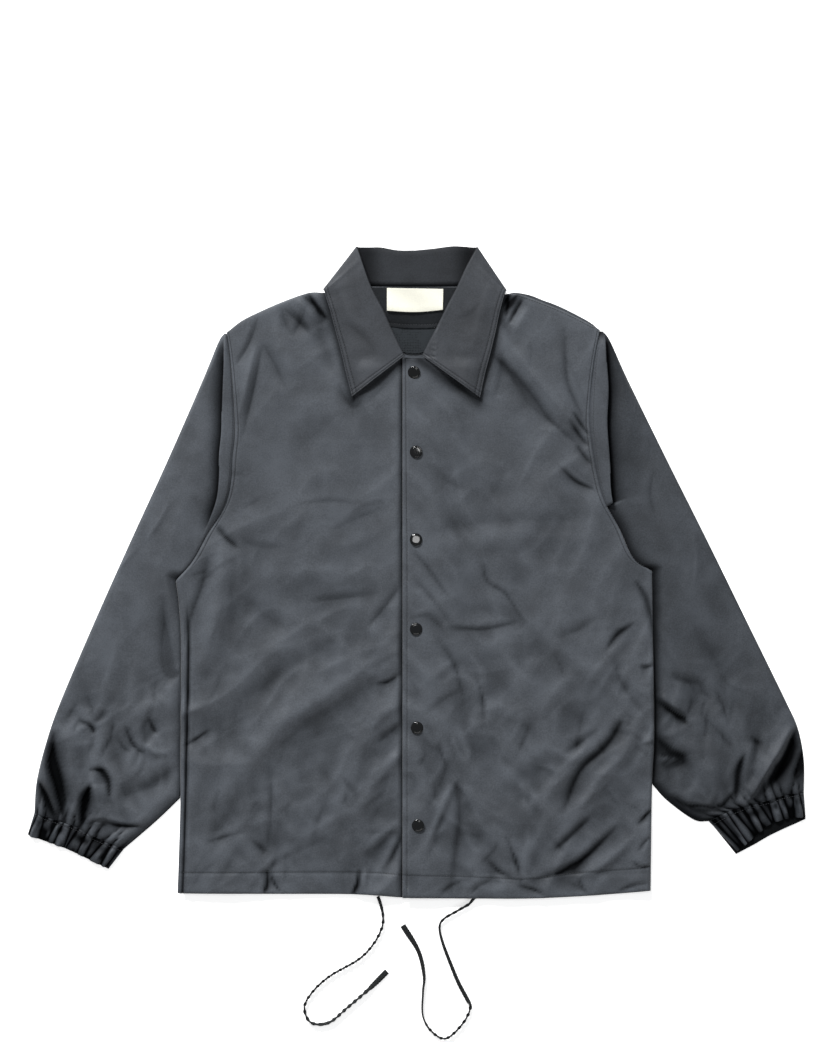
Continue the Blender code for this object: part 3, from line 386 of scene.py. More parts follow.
SHADOWS_SLEEVE = {
    "right": folds(
        (9, -1.4, -437, -188, -439, -223, -431, -255, -424, -300),
        (5, -1.2, -454, -248, -445, -271, -433, -300),
        (6.5, -1.4, -391, -252, -399, -271, -405, -308),
        (3.6, -0.55, -391, -235, -379, -237, -371, -250, -369, -268),
        (3.4, -0.4, -404, -177, -392, -183, -387, -193),
        (9, -0.35, -306, -40, -302, -80, -298, -112, -286, -122),
        (3, -0.5, -398, -300, -372, -303, -334, -304),
    ),
    "left": folds(
        (8, -1.3, 455, -184, 447, -212, 435, -236, 418, -262),
        (6, -1.2, 466, -206, 460, -228, 450, -252),
        (7, -1, 284, -192, 300, -212, 314, -221, 292, -234),
        (5, -0.5, 286, -148, 304, -164, 322, -178),
        (6, -0.7, 305, -268, 324, -280, 345, -284, 366, -282, 381, -262),
        (4.5, -0.6, 392, -214, 385, -240, 381, -276),
    ),
}

# Small seeded creases: how many, over which box, which way they run and how strong they are.
Creases = namedtuple("Creases", "count low high heading spread length height")
CREASES_FRONT = {
    "right": [
        Creases(26, (-280, -380), (-20, 240), 38, 26, (25, 90), (0.3, 0.8)),
        Creases(16, (-280, -380), (-20, -200), 55, 30, (15, 45), (0.4, 1)),
    ],
    "left": [
        Creases(26, (10, -380), (278, 260), 128, 30, (25, 90), (0.3, 0.8)),
        Creases(26, (10, -385), (278, -170), 105, 32, (15, 50), (0.4, 1.1)),
    ],
}
CREASES_SLEEVE = {
    "right": [
        Creases(16, (-440, -260), (-250, 100), 66, 22, (20, 80), (0.3, 0.8)),
        Creases(20, (-455, -300), (-300, -150), 80, 30, (14, 40), (0.3, 0.7)),
    ],
    "left": [
        Creases(16, (250, -240), (440, 100), 114, 22, (20, 80), (0.3, 0.8)),
        Creases(20, (300, -280), (460, -150), 100, 30, (14, 40), (0.3, 0.7)),
    ],
}

# The strip of sleeve beside the armhole seam, which lies in a fold over the rest of the sleeve: its
# width at shares of the armhole's length from the shoulder.
STRIP_WIDTHS = {
    "right": [(0, 4), (0.12, 10), (0.32, 17), (0.52, 17), (0.68, 11), (0.8, 4), (0.86, 3), (4, 3)],
    "left": [
        (0, 6), (0.04, 10), (0.14, 17), (0.26, 23), (0.4, 22), (0.55, 18), (0.69, 9), (0.77, 3), (4, 3)
    ],
}

# Points across that strip, those tucked in under it, where these lie beyond the strip's ends, and
# how far down each of them is.
STRIP_POINTS = np.array([0, 0.4, 1.0, 2, 3.6, 6, 8.5, 11, 13.5, 15.4, 16.5, 17.0])
STRIP_STITCH = 3.6
TUCKED_POINTS = np.array([16.9, 16.0, 14.0, 12.0])
PLAIN_POINTS = np.array([17.8, 18.8, 20.0, 21.4])
TUCKED_DROPS = np.array([0.45, 0.8, 0.95, 1.0])

# Collar sections, from each front end round to the middle of the back. The leaf lies over the stand
# in front (turn 0) and under it behind (turn 180).
CollarSection = namedtuple(
    "CollarSection", "seam_x seam_y roll_x roll_y edge_x edge_y seam_z roll_z edge_z turn")
COLLAR = {
    "right": [
        (-20, 255.5, -14.4, 259.4, -78, 210, 5.2, 7.6, 8, 0),
        (-38, 262.5, -22, 275, -84.5, 236, 5, 8.2, 8.2, 0),
        (-54, 276, -30, 292, -91, 264, 5, 8.8, 8.6, 0),
        (-67, 295, -38, 310, -98, 290, 5.2, 9.4, 8.8, 0),
        (-76, 314, -46, 326, -104, 313, 6, 9.8, 9.2, 0),
        (-81.5, 331, -54, 342, -109, 329, 6.6, 10, 9.4, 0),
        (-85, 342, -62, 364, -110.5, 335, 6.9, 9.4, 9.4, 0),
        (-87, 344.5, -70, 388, -112, 338.2, 6, 6.6, 7.2, 45),
        (-87.8, 345, -71, 389.5, -112.6, 339, 4.7, 4.6, 4.6, 90),
        (-87, 344.5, -69.6, 389.8, -112, 338.2, 3.4, 2.9, 2.2, 135),
        (-82, 343.4, -66, 390, -106, 334.6, 2.75, 1.95, 0.75, 180),
        (-66, 343, -56, 390, -84, 332.5, 2.75, 1.95, 0.75, 180),
        (-50, 342.5, -43, 390, -60, 330.5, 2.75, 1.95, 0.75, 180),
        (-25, 342.3, -23, 386.6, -30, 329.4, 2.75, 1.95, 0.75, 180),
    ],
    "left": [
        (11, 256, 5.4, 259.4, 75.6, 208.8, 5.6, 7.8, 8, 0),
        (29, 263, 13, 275, 81, 235, 5.2, 8.3, 8.2, 0),
        (45, 277, 22, 292, 88, 262, 5, 8.8, 8.6, 0),
        (58, 296, 30.5, 309, 94, 287, 5.2, 9.4, 8.8, 0),
        (68, 315, 38.5, 325, 99, 311, 6, 9.8, 9.2, 0),
        (76, 331, 46.8, 341, 103.5, 328, 6.6, 10, 9.4, 0),
        (81, 341.6, 57, 364, 105.5, 333.5, 6.9, 9.4, 9.4, 0),
        (84, 344.5, 69.6, 387.4, 107, 337, 6, 6.6, 7.2, 45),
        (84.8, 345, 70.8, 389, 107.6, 337.8, 4.7, 4.6, 4.6, 90),
        (84, 344.5, 69.4, 389.6, 107, 337, 3.4, 2.9, 2.2, 135),
        (79, 343.4, 65, 390, 101, 333.6, 2.75, 1.95, 0.75, 180),
        (64, 343, 55, 391, 81, 332, 2.75, 1.95, 0.75, 180),
        (47, 342.5, 41, 391.3, 58, 330.5, 2.75, 1.95, 0.75, 180),
        (23, 342.3, 20, 388.6, 28, 329.4, 2.75, 1.95, 0.75, 180),
    ],
}
COLLAR_MIDDLE = (-1, 342.2, -2, 386.4, -1, 329, 2.75, 1.95, 0.75, 180)
SECTION_STEPS = 9

# The facing, the lining below it and the label: lower edges and corners.
FACING_TOP_Y = 341.2
FACING_LOW = [(-78, 318), (-60, 301), (-30, 294), (0, 292), (28, 294), (52, 301), (70, 318)]
LINING_LOW = [(-50, 288), (-34, 272), (-18, 264), (-4, 262), (9, 264), (24, 272), (42, 288)]
LABEL_CORNERS = [(-36, 313), (31, 314), (31.5, 339), (-36, 340.2)]

# Routes of the free cord ends on the floor, hem first, tip last.
CORD_ROUTES = {
    "right": [
        (-46.8, -388.6), (-43.6, -398), (-40.8, -412), (-42, -426), (-51.6, -445), (-69.6, -464),
        (-104, -484), (-125, -503), (-135, -522), (-127, -540), (-105.6, -540), (-83.4, -522), (-61, -503),
        (-50, -493), (-36, -479)
    ],
    "left": [
        (70.5, -389.5), (66.5, -393), (61.5, -398.5), (47, -407), (32, -416), (27, -426), (31, -445),
        (42, -474), (50, -493), (60, -512), (64, -522), (55, -541), (35, -559), (18, -551), (7, -532),
        (7.2, -503), (8.4, -484), (1.8, -455), (-17, -424)
    ],
}
CORD_EXIT_Z = 4.6
CORD_DROP = 22.0
CORD_WIDTH = 5.0
CORD_THICKNESS = 1.9
# Rows of distance from the hem, lean in half turns (0 lies flat, 0.5 stands on edge) and wobble.
CORD_TWISTS = {
    "right": [
        (0, 0.24, 0), (22, 0.34, 0.05), (40, 0.4, 0.18), (198, 0.4, 0.16), (212, 0.3, 0.04),
        (232, 0.38, 0.17), (272, 0.33, 0.15), (292, 0.06, 0), (500, 0, 0)
    ],
    "left": [
        (0, 0.28, 0.04), (45, 0.32, 0.08), (62, 0.38, 0), (90, 0.24, 0), (150, 0.08, 0.04),
        (164, 0.36, 0.17), (238, 0.38, 0.17), (248, 0.44, 0), (290, 0.38, 0), (312, 0.12, 0), (330, 0, 0),
        (500, 0, 0)
    ],
}

# The photograph's view, and the way to its main light in plan.
VIEW_CENTRE = (-0.6, 61.2)
VIEW_HEIGHT = 1250.4
LENS = 85.0
SENSOR = 36.0
LIGHT_WAY = np.array([-0.35, 0.94])

# From one thread of the weave to the next, in metres.
WEAVE = 0.00065


def soft_step(value):
    """0 below 0, 1 above 1, and a smooth rise between."""
    value = np.clip(value, 0.0, 1.0)
    return value * value * (3.0 - 2.0 * value)


def bell(distance, reach, power=2):
    """1 at no distance, falling off over a reach."""
    return np.exp(-(distance / reach) ** power)


def between(first, last, share):
    """The first at share 0, the last at share 1."""
    return first * (1 - share) + last * share


def soft_curve(points, steps=10):
    """Points of a Catmull-Rom curve through the given points."""
    given = np.array(points, float)
    padded = np.vstack([2 * given[0] - given[1], given, 2 * given[-1] - given[-2]])
    t = np.linspace(0, 1, steps, endpoint=False)[:, None]
    spans = []
    for p0, p1, p2, p3 in zip(padded, padded[1:], padded[2:], padded[3:]):
        bend = (2 * p0 - 5 * p1 + 4 * p2 - p3) * t ** 2 + (3 * p1 - p0 - 3 * p2 + p3) * t ** 3
        spans.append(0.5 * (2 * p1 + (p2 - p0) * t + bend))
    return np.vstack(spans + [given[-1:]])


def curve_length(curve):
    """Length of a curve given by close points."""
    return np.linalg.norm(np.diff(curve, axis=0), axis=1).sum()


def along(curve, fractions):
    """Points at fractions of the length of a curve."""
    steps = np.linalg.norm(np.diff(curve, axis=0), axis=1)
    reach = np.concatenate([[0], np.cumsum(steps)]) / steps.sum()
    columns = [np.interp(fractions, reach, column) for column in curve.T]
    return np.stack(columns, axis=-1)


def even_points(points, count):
    """Evenly spaced points of the soft curve through the given points."""
    return along(soft_curve(points), np.linspace(0, 1, count))


def nearest_index(values, target):
    """Index of the value that is nearest to a target."""
    return int(np.abs(values - target).argmin())


def soft_noise(x, y, size, seed):
    """Smooth random heights between -1 and 1, with bumps about size across."""
    lattice = np.random.default_rng(seed).uniform(-1, 1, (LATTICE, LATTICE))
    u, v = x / size, y / size
    column, row = np.floor(u).astype(int), np.floor(v).astype(int)
    here, after = column % LATTICE, (column + 1) % LATTICE
    low, high = (between(lattice[at % LATTICE, here], lattice[at % LATTICE, after], soft_step(u - column))
                 for at in (row, row + 1))
    return between(low, high, soft_step(v - row))


def turned(x, y, turn):
    """Places measured along a way that is turned from +X, and across it."""
    return x * math.cos(turn) + y * math.sin(turn), y * math.cos(turn) - x * math.sin(turn)


def rumple(x, y, seed):
    """The faint unevenness of lying cloth, drawn out along one diagonal."""
    along_way, across_way = 0.8 * x + 0.6 * y, -0.6 * x + 0.8 * y
    total = 0.8 * soft_noise(along_way, across_way, 75, seed)
    total += 0.34 * soft_noise(along_way * 0.6, across_way, 27, seed + 1)
    total += 0.13 * soft_noise(x, y, 12, seed + 2)
    return total


def facets(x, y, seed, size, heading):
    """Flat facets that meet in crisp lines, drawn out along a heading in degrees."""
    bend = 0.4 * size * soft_noise(x, y, size * 1.6, seed + 5)
    along_way, across_way = turned(x, y, math.radians(heading))
    along_way, across_way = along_way / 1.9 + bend, across_way + bend
    broad = 1 - 2 * np.abs(soft_noise(along_way, across_way, size, seed))
    small = 1 - 2 * np.abs(soft_noise(along_way, across_way, size * 0.42, seed + 1))
    return 0.045 * size * (broad + 0.38 * small)


def crumple(x, y, seed):
    """Patches of small pressed creases, each patch running its own way."""
    draw = np.random.default_rng(seed)
    total = np.zeros_like(x)
    for layer in range(8):
        turn = draw.uniform(0, math.pi)
        spacing = draw.uniform(8, 24)
        along_way, across_way = turned(x, y, turn)
        bent = across_way + 7 * soft_noise(x, y, 55, seed + 10 + layer)
        wave = np.abs((bent / spacing) % 2 - 1)
        patch = soft_step((soft_noise(along_way * 0.5, across_way, 44, seed + 30 + layer) - 0.1) / 0.4)
        total += spacing * 0.06 * patch * (wave - 0.5)
    return total


def nearest(line, px, py):
    """How far points are from a line, where along it, and how far to its lit side."""
    best = np.full(px.shape, 1e9)
    place, toward = np.zeros_like(px), np.zeros_like(px)
    for index in range(len(line) - 1):
        step = line[index + 1] - line[index]
        dx, dy = px - line[index, 0], py - line[index, 1]
        share = np.clip((dx * step[0] + dy * step[1]) / (step @ step), 0, 1)
        dx, dy = dx - share * step[0], dy - share * step[1]
        away = np.hypot(dx, dy)
        closer = away < best
        best = np.where(closer, away, best)
        place = np.where(closer, (index + share) / (len(line) - 1), place)
        toward = np.where(closer, dx * LIGHT_WAY[0] + dy * LIGHT_WAY[1], toward)
    return best, place, toward


def fold_height(x, y, table):
    """Height that the folds add at each point: steep on the side away from the light."""
    total = np.zeros_like(x)
    for fold in table:
        lean, sharpness = (0.74, 1.15) if fold.width < CRISP_WIDTH else (0.25, 1.6)
        line = soft_curve(fold.points, steps=5) - LIGHT_WAY * fold.width * 0.4
        reach = 3.6 * fold.width
        low, high = line.min(axis=0) - reach, line.max(axis=0) + reach
        near = (x > low[0]) & (x < high[0]) & (y > low[1]) & (y < high[1])
        if not near.any():
            continue
        best, place, toward = nearest(line, x[near], y[near])
        taper = np.sin(np.pi * np.clip(0.04 + 0.92 * place, 0, 1)) ** 0.75
        lean = lean * np.tanh(toward / fold.width) * math.copysign(1, fold.height)
        width = fold.width * (1 + lean) * (0.65 + 0.35 * taper)
        total[near] += fold.height * taper * bell(best, width, sharpness)
    return total


def shadow_tone(x, y, table):
    """Tone left by a table of shadow lines."""
    return np.clip(1 + fold_height(x, y, table), 0.1, 1)


def small_creases(groups, seed):
    """Seeded short creases for each group of a table."""
    draw = np.random.default_rng(seed)
    creases = []
    for group in groups:
        for _ in range(group.count):
            centre = draw.uniform(group.low, group.high)
            turn = math.radians(group.heading + draw.normal(0, group.spread))
            half = draw.uniform(*group.length) / 2
            way = np.array([math.cos(turn), math.sin(turn)]) * half
            bow = np.array([-way[1], way[0]]) * draw.normal(0, 0.14)
            height = draw.uniform(*group.height) * draw.choice([-1.0, 1.0])
            creases.append(Fold([centre - way, centre + bow, centre + way], 3 + half * 0.09, height))
    return creases


def neck_lift(x, y):
    """The layers at the back of the neck lie on the collar's leaf, which rests on the floor."""
    return NECK_LIFT * soft_step((y - 296) / 24) * soft_step((132 - np.abs(x)) / 14)


def places(length, marks=(), step=STEP, start_edge=True, end_edge=True):
    """Distances from 0 to length: even steps, closer at the edges and beside each marked seam."""
    fixed = [0, length]
    if start_edge:
        fixed += [0.5, 1.2, 2.4]
    if end_edge:
        fixed += [length - 2.4, length - 1.2, length - 0.5]
    for mark in marks:
        fixed += [mark - 1.3, mark - 0.5, mark, mark + 0.5, mark + 1.3]
    fixed = np.array(sorted(set(fixed)))
    even = np.linspace(0, length, max(2, round(length / step) + 1))
    clear = np.array([np.abs(fixed - value).min() > 0.45 * step for value in even])
    return np.sort(np.concatenate([fixed, even[clear]]))


def rounded(distance, radius):
    """Height share of a rolled edge: 0 at the edge and 1 from the radius on."""
    inward = np.clip(distance / radius, 0, 1)
    return np.sqrt(np.clip(1 - (1 - inward) ** 2, 0, 1))


def groove(distance, mark, depth=0.45, width=0.7):
    """How far a seam's stitches pull the cloth down beside them."""
    return -depth * bell(distance - mark, width)


def grid_faces(rows, columns):
    """Quads of a grid of points, numbered row by row."""
    index = np.arange(rows * columns).reshape(rows, columns)
    corners = [index[:-1, :-1], index[:-1, 1:], index[1:, 1:], index[1:, :-1]]
    return np.stack([corner.ravel() for corner in corners], axis=1)


def plan_cross(grid):
    """Signed area of each quad of a grid in plan, near enough."""
    across = grid[:-1, 1:] - grid[:-1, :-1]
    onward = grid[1:, :-1] - grid[:-1, :-1]
    return across[..., 0] * onward[..., 1] - across[..., 1] * onward[..., 0]


def upward(grid):
    """Faces of a grid, turned so that they look up."""
    faces = grid_faces(*grid.shape[:2])
    return faces[:, ::-1] if plan_cross(grid).mean() < 0 else faces


def bowed_plan(first, last, low, high, u, v):
    """Plan of a panel between two side curves, bowed to its lower and upper edges."""
    low_bow = low[None] - ((1 - u) * low[0] + u * low[-1])
    high_bow = high[None] - ((1 - u) * high[0] + u * high[-1])
    return between(first[:, None], last[:, None], u) + low_bow * (1 - v) ** 4 + high_bow * v ** 4


def blurred(height, reach):
    """Heights of a grid averaged over a reach of its steps."""
    steps = np.arange(-3 * reach, 3 * reach + 1)
    weights = np.exp(-0.5 * (steps / reach) ** 2)
    weights /= weights.sum()
    wide = np.pad(height, 3 * reach, mode="edge")
    wide = np.apply_along_axis(np.convolve, 0, wide, weights, "valid")
    return np.apply_along_axis(np.convolve, 1, wide, weights, "valid")


def hollow_shade(height):
    """Painted shade at each point of a grid: below 1 in its hollows, where little light reaches, and
    painted light above 1 on its ridges.
    """
    narrow, middle, broad = (blurred(height, reach) - height for reach in (1, 3, 8))
    return np.clip(1 - 0.42 * narrow - 0.15 * middle - 0.1 * broad, 0.16, 1.15)


def paint(piece, tones):
    """Keep a tone of painted shade and light for each point, which the cloth's material reads."""
    layer = piece.data.attributes.new("tone", "FLOAT", "POINT")
    layer.data.foreach_set("value", np.asarray(tones, np.float32).ravel())


def add_mesh(name, points, faces):
    """A smooth mesh in the scene, from points in millimetres."""
    mesh = bpy.data.meshes.new(name)
    mesh.from_pydata((np.asarray(points) * MM).tolist(), [], faces)
    mesh.shade_smooth()
    return link_object(name, mesh)


def link_object(name, data):
    """An object in the scene for a mesh, lamp or camera."""
    thing = bpy.data.objects.new(name, data)
    bpy.context.scene.collection.objects.link(thing)
    return thing


def finish_piece(piece, material, nodes=()):
    """Give a piece its material and body, and hide the CAD nodes that it stands for."""
    piece.data.materials.append(material)
    if nodes:
        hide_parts(*nodes)
    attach(piece, "root")
    return piece


def add_shell(name, points, faces, thickness=SHELL, inside_painted_shade=False):
    """A thin closed shell: the faces are its outside, and the cloth's thickness goes inward."""
    piece = add_mesh(name, points, faces.tolist())
    shell = piece.modifiers.new("cloth", "SOLIDIFY")
    shell.thickness = thickness * MM
    shell.offset = -1
    # When asked, the inner faces take the piece's second material: a near-black painted shade.
    if inside_painted_shade:
        shell.material_offset = 1
    return piece


def add_grid_shell(name, grid, shade=1.0, thickness=SHELL):
    """A thin closed shell under one grid of points that looks up."""
    piece = add_shell(name, grid.reshape(-1, 3), upward(grid), thickness)
    # Painted shade in the grid's hollows, times the given shade.
    paint(piece, hollow_shade(grid[..., 2]) * shade)
    return piece


def add_tube_shell(name, over, under, shade, inside_painted_shade=False):
    """A flattened tube of cloth: an upper and a lower grid that are joined where their edges meet."""
    rows, columns = over.shape[:2]
    points = np.vstack([over.reshape(-1, 3), under.reshape(-1, 3)])
    top = upward(over)
    bottom = top[:, ::-1] + rows * columns
    piece = add_shell(name, points, np.vstack([top, bottom]), inside_painted_shade=inside_painted_shade)
    # Painted shade in the upper layer's hollows, times the given shade; the lower layer keeps tone 1.
    paint(piece, np.vstack([hollow_shade(over[..., 2]) * shade, np.ones((rows, columns))]))
    work = bmesh.new()
    work.from_mesh(piece.data)
    bmesh.ops.remove_doubles(work, verts=work.verts, dist=0.00001)
    work.to_mesh(piece.data)
    work.free()
    return piece


def under_collar(x, y):
    """1 where the collar's leaf presses the front flat, 0 away from it."""
    return soft_step((y - 205) / 40) * soft_step((108 - np.abs(x)) / 20)


def placket_share(x):
    """1 over the placket, and less and less beside it on the wearer's left."""
    return soft_step((60 - x) / 56)


def leaf_shade(x, y):
    """Tone of the fronts in the shadow beside and below the collar's leaf."""
    shade = np.ones_like(x)
    for side, away, reach in (("right", (1.5, -3.5), 6.5), ("left", (-2.5, -5.0), 8)):
        sections = [CollarSection(*row) for row in COLLAR[side]]
        edge = [(sections[0].roll_x, sections[0].roll_y)]
        edge += [(section.edge_x, section.edge_y) for section in sections if section.turn < 60]
        shade *= 1 - 0.74 * bell(nearest(np.array(edge, float) + np.array(away), x, y)[0], reach)
    return shade


def front_top(x, y, side):
    """Height of a front's outer face, without its edges."""
    crease_seed, seed = {"right": (11, 3), "left": (12, 7)}[side]
    table = FOLDS_FRONT[side] + small_creases(CREASES_FRONT[side], crease_seed)
    loft = FRONT_FOLDS * fold_height(x, y, table) + rumple(x, y, seed)
    low = 0.25 + 0.75 * soft_step((40 - y) / 260)
    loft = loft + 0.5 * crumple(x, y, seed) * low
    if side == "right":
        loft = loft + 0.8 * facets(x, y, 81, 78, 38) * (0.4 + 0.6 * low)
        loft = loft + 0.5 * facets(x, y, 84, 34, 60) * low * soft_step((x + 120) / 90)
    else:
        near_side = soft_step((x - 90) / 80)
        loft = loft + 0.9 * facets(x, y, 87, 60, 57) * near_side * (0.3 + 0.7 * low)
        loft = loft + facets(x, y, 91, 44, 127) * (1 - near_side) * (0.25 + 0.75 * low)
    loft = loft * (1 - 0.75 * under_collar(x, y))
    casing = soft_step((CASING_TOP_Y - y) / 5)
    top = FRONT_TOP + loft + CASING_EXTRA * casing + neck_lift(x, y)
    if side == "right":
        tuck = soft_step((x + 24) / 7) * soft_step((263 - y) / 6)
        top = between(top, np.minimum(top, FRONT_TOP - 1.2), tuck)
    else:
        placket_top = FRONT_TOP + PLACKET_RISE + np.clip(loft, -1.0, 2.5) * 0.8 + neck_lift(x, y)
        top = between(top, placket_top, placket_share(x))
    return np.maximum(top, BACK_TOP + 1.2)


def front_plan(side):
    """Plan of a front, how far its columns are from the first one, and how far up its side its rows are."""
    from_side = side == "right"
    centre_x = UNDER_PLACKET_X if from_side else PLACKET_LEFT_X
    curve = np.vstack([soft_curve(SIDE[side]), soft_curve(ARMHOLE[side])[1:]])
    neck_curve = soft_curve(NECK[side])
    straight = PLACKET_TOP_Y - CENTRE_HEM_Y
    rise = places(straight, marks=[CASING_DEPTH], end_edge=False) / straight
    around_neck = places(curve_length(neck_curve), start_edge=False)[1:] / curve_length(neck_curve)
    centre_y = CENTRE_HEM_Y + (NECK[side][0][1] - CENTRE_HEM_Y) * rise
    inner = np.vstack([np.stack([rise * 0 + centre_x, centre_y], axis=1), along(neck_curve, around_neck)])
    up = np.concatenate([rise * NECK_FROM, NECK_FROM + (1 - NECK_FROM) * around_neck])
    outer = along(curve, up)
    marks = [PLACKET_STITCH, FRONT_WIDTH - ARMHOLE_STITCH]
    if from_side:
        marks.append(FRONT_WIDTH - SIDE_CREASE)
    offsets = places(FRONT_WIDTH, marks=marks)
    if from_side:
        offsets = FRONT_WIDTH - offsets[::-1]
    shares = offsets / FRONT_WIDTH
    shoulder = SHOULDER[side] if from_side else SHOULDER[side][::-1]
    low, high = along(soft_curve(HEM[side]), shares), along(soft_curve(shoulder), shares)
    first, last = (outer, inner) if from_side else (inner, outer)
    plan = bowed_plan(first, last, low, high, shares[None, :, None], up[:, None, None])
    return plan, offsets, curve_length(curve) * up, curve_length(curve)


def build_front(side, cloth):
    """A front: thin cloth with its folds, hem casing, placket edge and seams."""
    plan, offsets, height, side_length = front_plan(side)
    from_centre, from_side = FRONT_WIDTH - offsets, offsets
    if side == "left":
        from_centre, from_side = from_side, from_centre
        dip = np.interp(plan[..., 0], *HEM_DIP)
        plan[..., 1] += dip * bell(height - HEM_STITCH, 12)[:, None]
    x, y = plan[..., 0], plan[..., 1]
    top = front_top(x, y, side)
    base = BACK_TOP + 0.5 + neck_lift(x, y)
    edge = rounded(from_side, 5.0)[None, :] * np.ones_like(top)
    edge = np.minimum(edge, 0.35 + 0.65 * rounded(height, 3.0)[:, None])
    edge = np.minimum(edge, 0.4 + 0.6 * rounded(side_length - height, 4.0)[:, None])
    if side == "left":
        edge = np.minimum(edge, 0.8 + 0.2 * rounded(from_centre, 1.6)[None, :])
    least = 0.4 + 0.35 * soft_step((y - 4) / 14) * (from_side < 8)[None, :]
    top = base + (top - base) * (least + (1 - least) * edge)
    seams = groove(from_side, ARMHOLE_STITCH)[None, :] * (y > 8)
    # Painted shadow below and beside the collar's leaf, and painted shade in the groove of the hem
    # stitches.
    shade = leaf_shade(x, y) * (1 + groove(height, HEM_STITCH, 0.4))[:, None]
    if side == "left":
        seams = seams + groove(from_centre, PLACKET_STITCH)[None, :]
    else:
        creased = bell(from_side - SIDE_CREASE, 1.4)[None] * soft_step((-30 - y) / 70)
        top = top - 2.4 * creased
        # Painted shadow in a thin line beside the placket's edge, and painted shade in the side crease.
        shade *= 1 - 0.75 * bell(np.minimum(x - PLACKET_LEFT_X, 0), 2.6)
        shade *= 1 - 0.75 * creased
    top = top + seams + groove(height, HEM_STITCH, 0.3)[:, None]
    grid = np.dstack([plan, top])
    shade *= shadow_tone(x, y, SHADOWS_FRONT[side])
    # Painted shade in the groove of the armhole stitches.
    shade *= 1 + (groove(from_side, ARMHOLE_STITCH, 0.25, 0.9) * (from_side > 0))[None] * (y > 8)
    piece = add_grid_shell(f"front_{side}_cloth", grid, shade)
    finish_piece(piece, cloth, [f"front_{side}"])
    side_column = nearest_index(from_side, ARMHOLE_STITCH)
    stitches = [grid[nearest_index(height, HEM_STITCH)], grid[plan[:, side_column, 1] > 10, side_column]]
    if side == "left":
        centre_column = nearest_index(from_centre, PLACKET_STITCH)
        stitches.append(grid[y[:, centre_column] < PLACKET_TOP_Y - 4, centre_column])
        shoulder_row = nearest_index(side_length - height, 3.0)
        stitches.append(grid[shoulder_row, (x[shoulder_row] > 116) & (x[shoulder_row] < 213)])
    return stitches


def build_back(cloth):
    """The back: flat on the floor, seen in the neck and past the edges."""
    shoulders = even_points(SHOULDER["right"], 30), even_points(SHOULDER_LEFT_BACK[::-1], 30)
    top = np.vstack([shoulders[0], even_points(NECK_BACK, 32)[1:-1], shoulders[1]])
    share = (top[:, 0] - top[0, 0]) / (top[-1, 0] - top[0, 0])
    low = along(np.vstack([soft_curve(HEM["right"][:5]), soft_curve(HEM["left"][1:])]), share)
    right, left = (np.vstack([soft_curve(SIDE[side]), soft_curve(ARMHOLE[side])[1:]]) for side in SIDES)
    rows = places(curve_length(left), step=7) / curve_length(left)
    right_side, left_side = along(right, rows), along(left, rows)
    plan = bowed_plan(right_side, left_side, low, top, share[None, :, None], rows[:, None, None])
    x, y = plan[..., 0], plan[..., 1]
    rise = BACK_TOP - 0.4 + 0.35 * rumple(x, y, 21) + neck_lift(x, y)
    grid = np.dstack([plan, np.maximum(rise, SHELL + 0.1)])
    piece = add_grid_shell("back_cloth", grid)
    finish_piece(piece, cloth, ["back"])


def pleat_shape(share, side, drift):
    """0 where a pleat pinches in and 1 on the ridges between, at shares of a cuff's width."""
    pinches = np.array([-0.04] + CUFF_PLEATS[side] + [1.05])
    wander = 0.013 * np.sin(np.arange(len(pinches)) * 2.3)
    shape = np.zeros_like(share)
    for index in range(len(pinches) - 1):
        low, high = (pinches[at] + wander[at] * drift for at in (index, index + 1))
        t = (share - low) / (high - low)
        ridge = np.sin(np.pi * np.clip(t, 0, 1)) ** 0.36 * (0.8 + 0.25 * math.sin(index * 2.1))
        shape = np.maximum(shape, np.where((t > 0) & (t < 1), ridge, 0))
    return shape


def sleeve_lines(side):
    """Outer fold, inner boundary, armhole and cuff seam of a sleeve."""
    lap = SLEEVE_LAP if side == "right" else -SLEEVE_LAP
    armhole = soft_curve(ARMHOLE[side][::-1]) + np.array([lap, 0])
    inner = np.vstack([armhole, soft_curve(SLEEVE_BESIDE[side])[1:], soft_curve(UNDERARM[side])[1:]])
    return soft_curve(SLEEVE_OUTER[side]), inner, armhole, soft_curve(CUFF_SEAM[side])


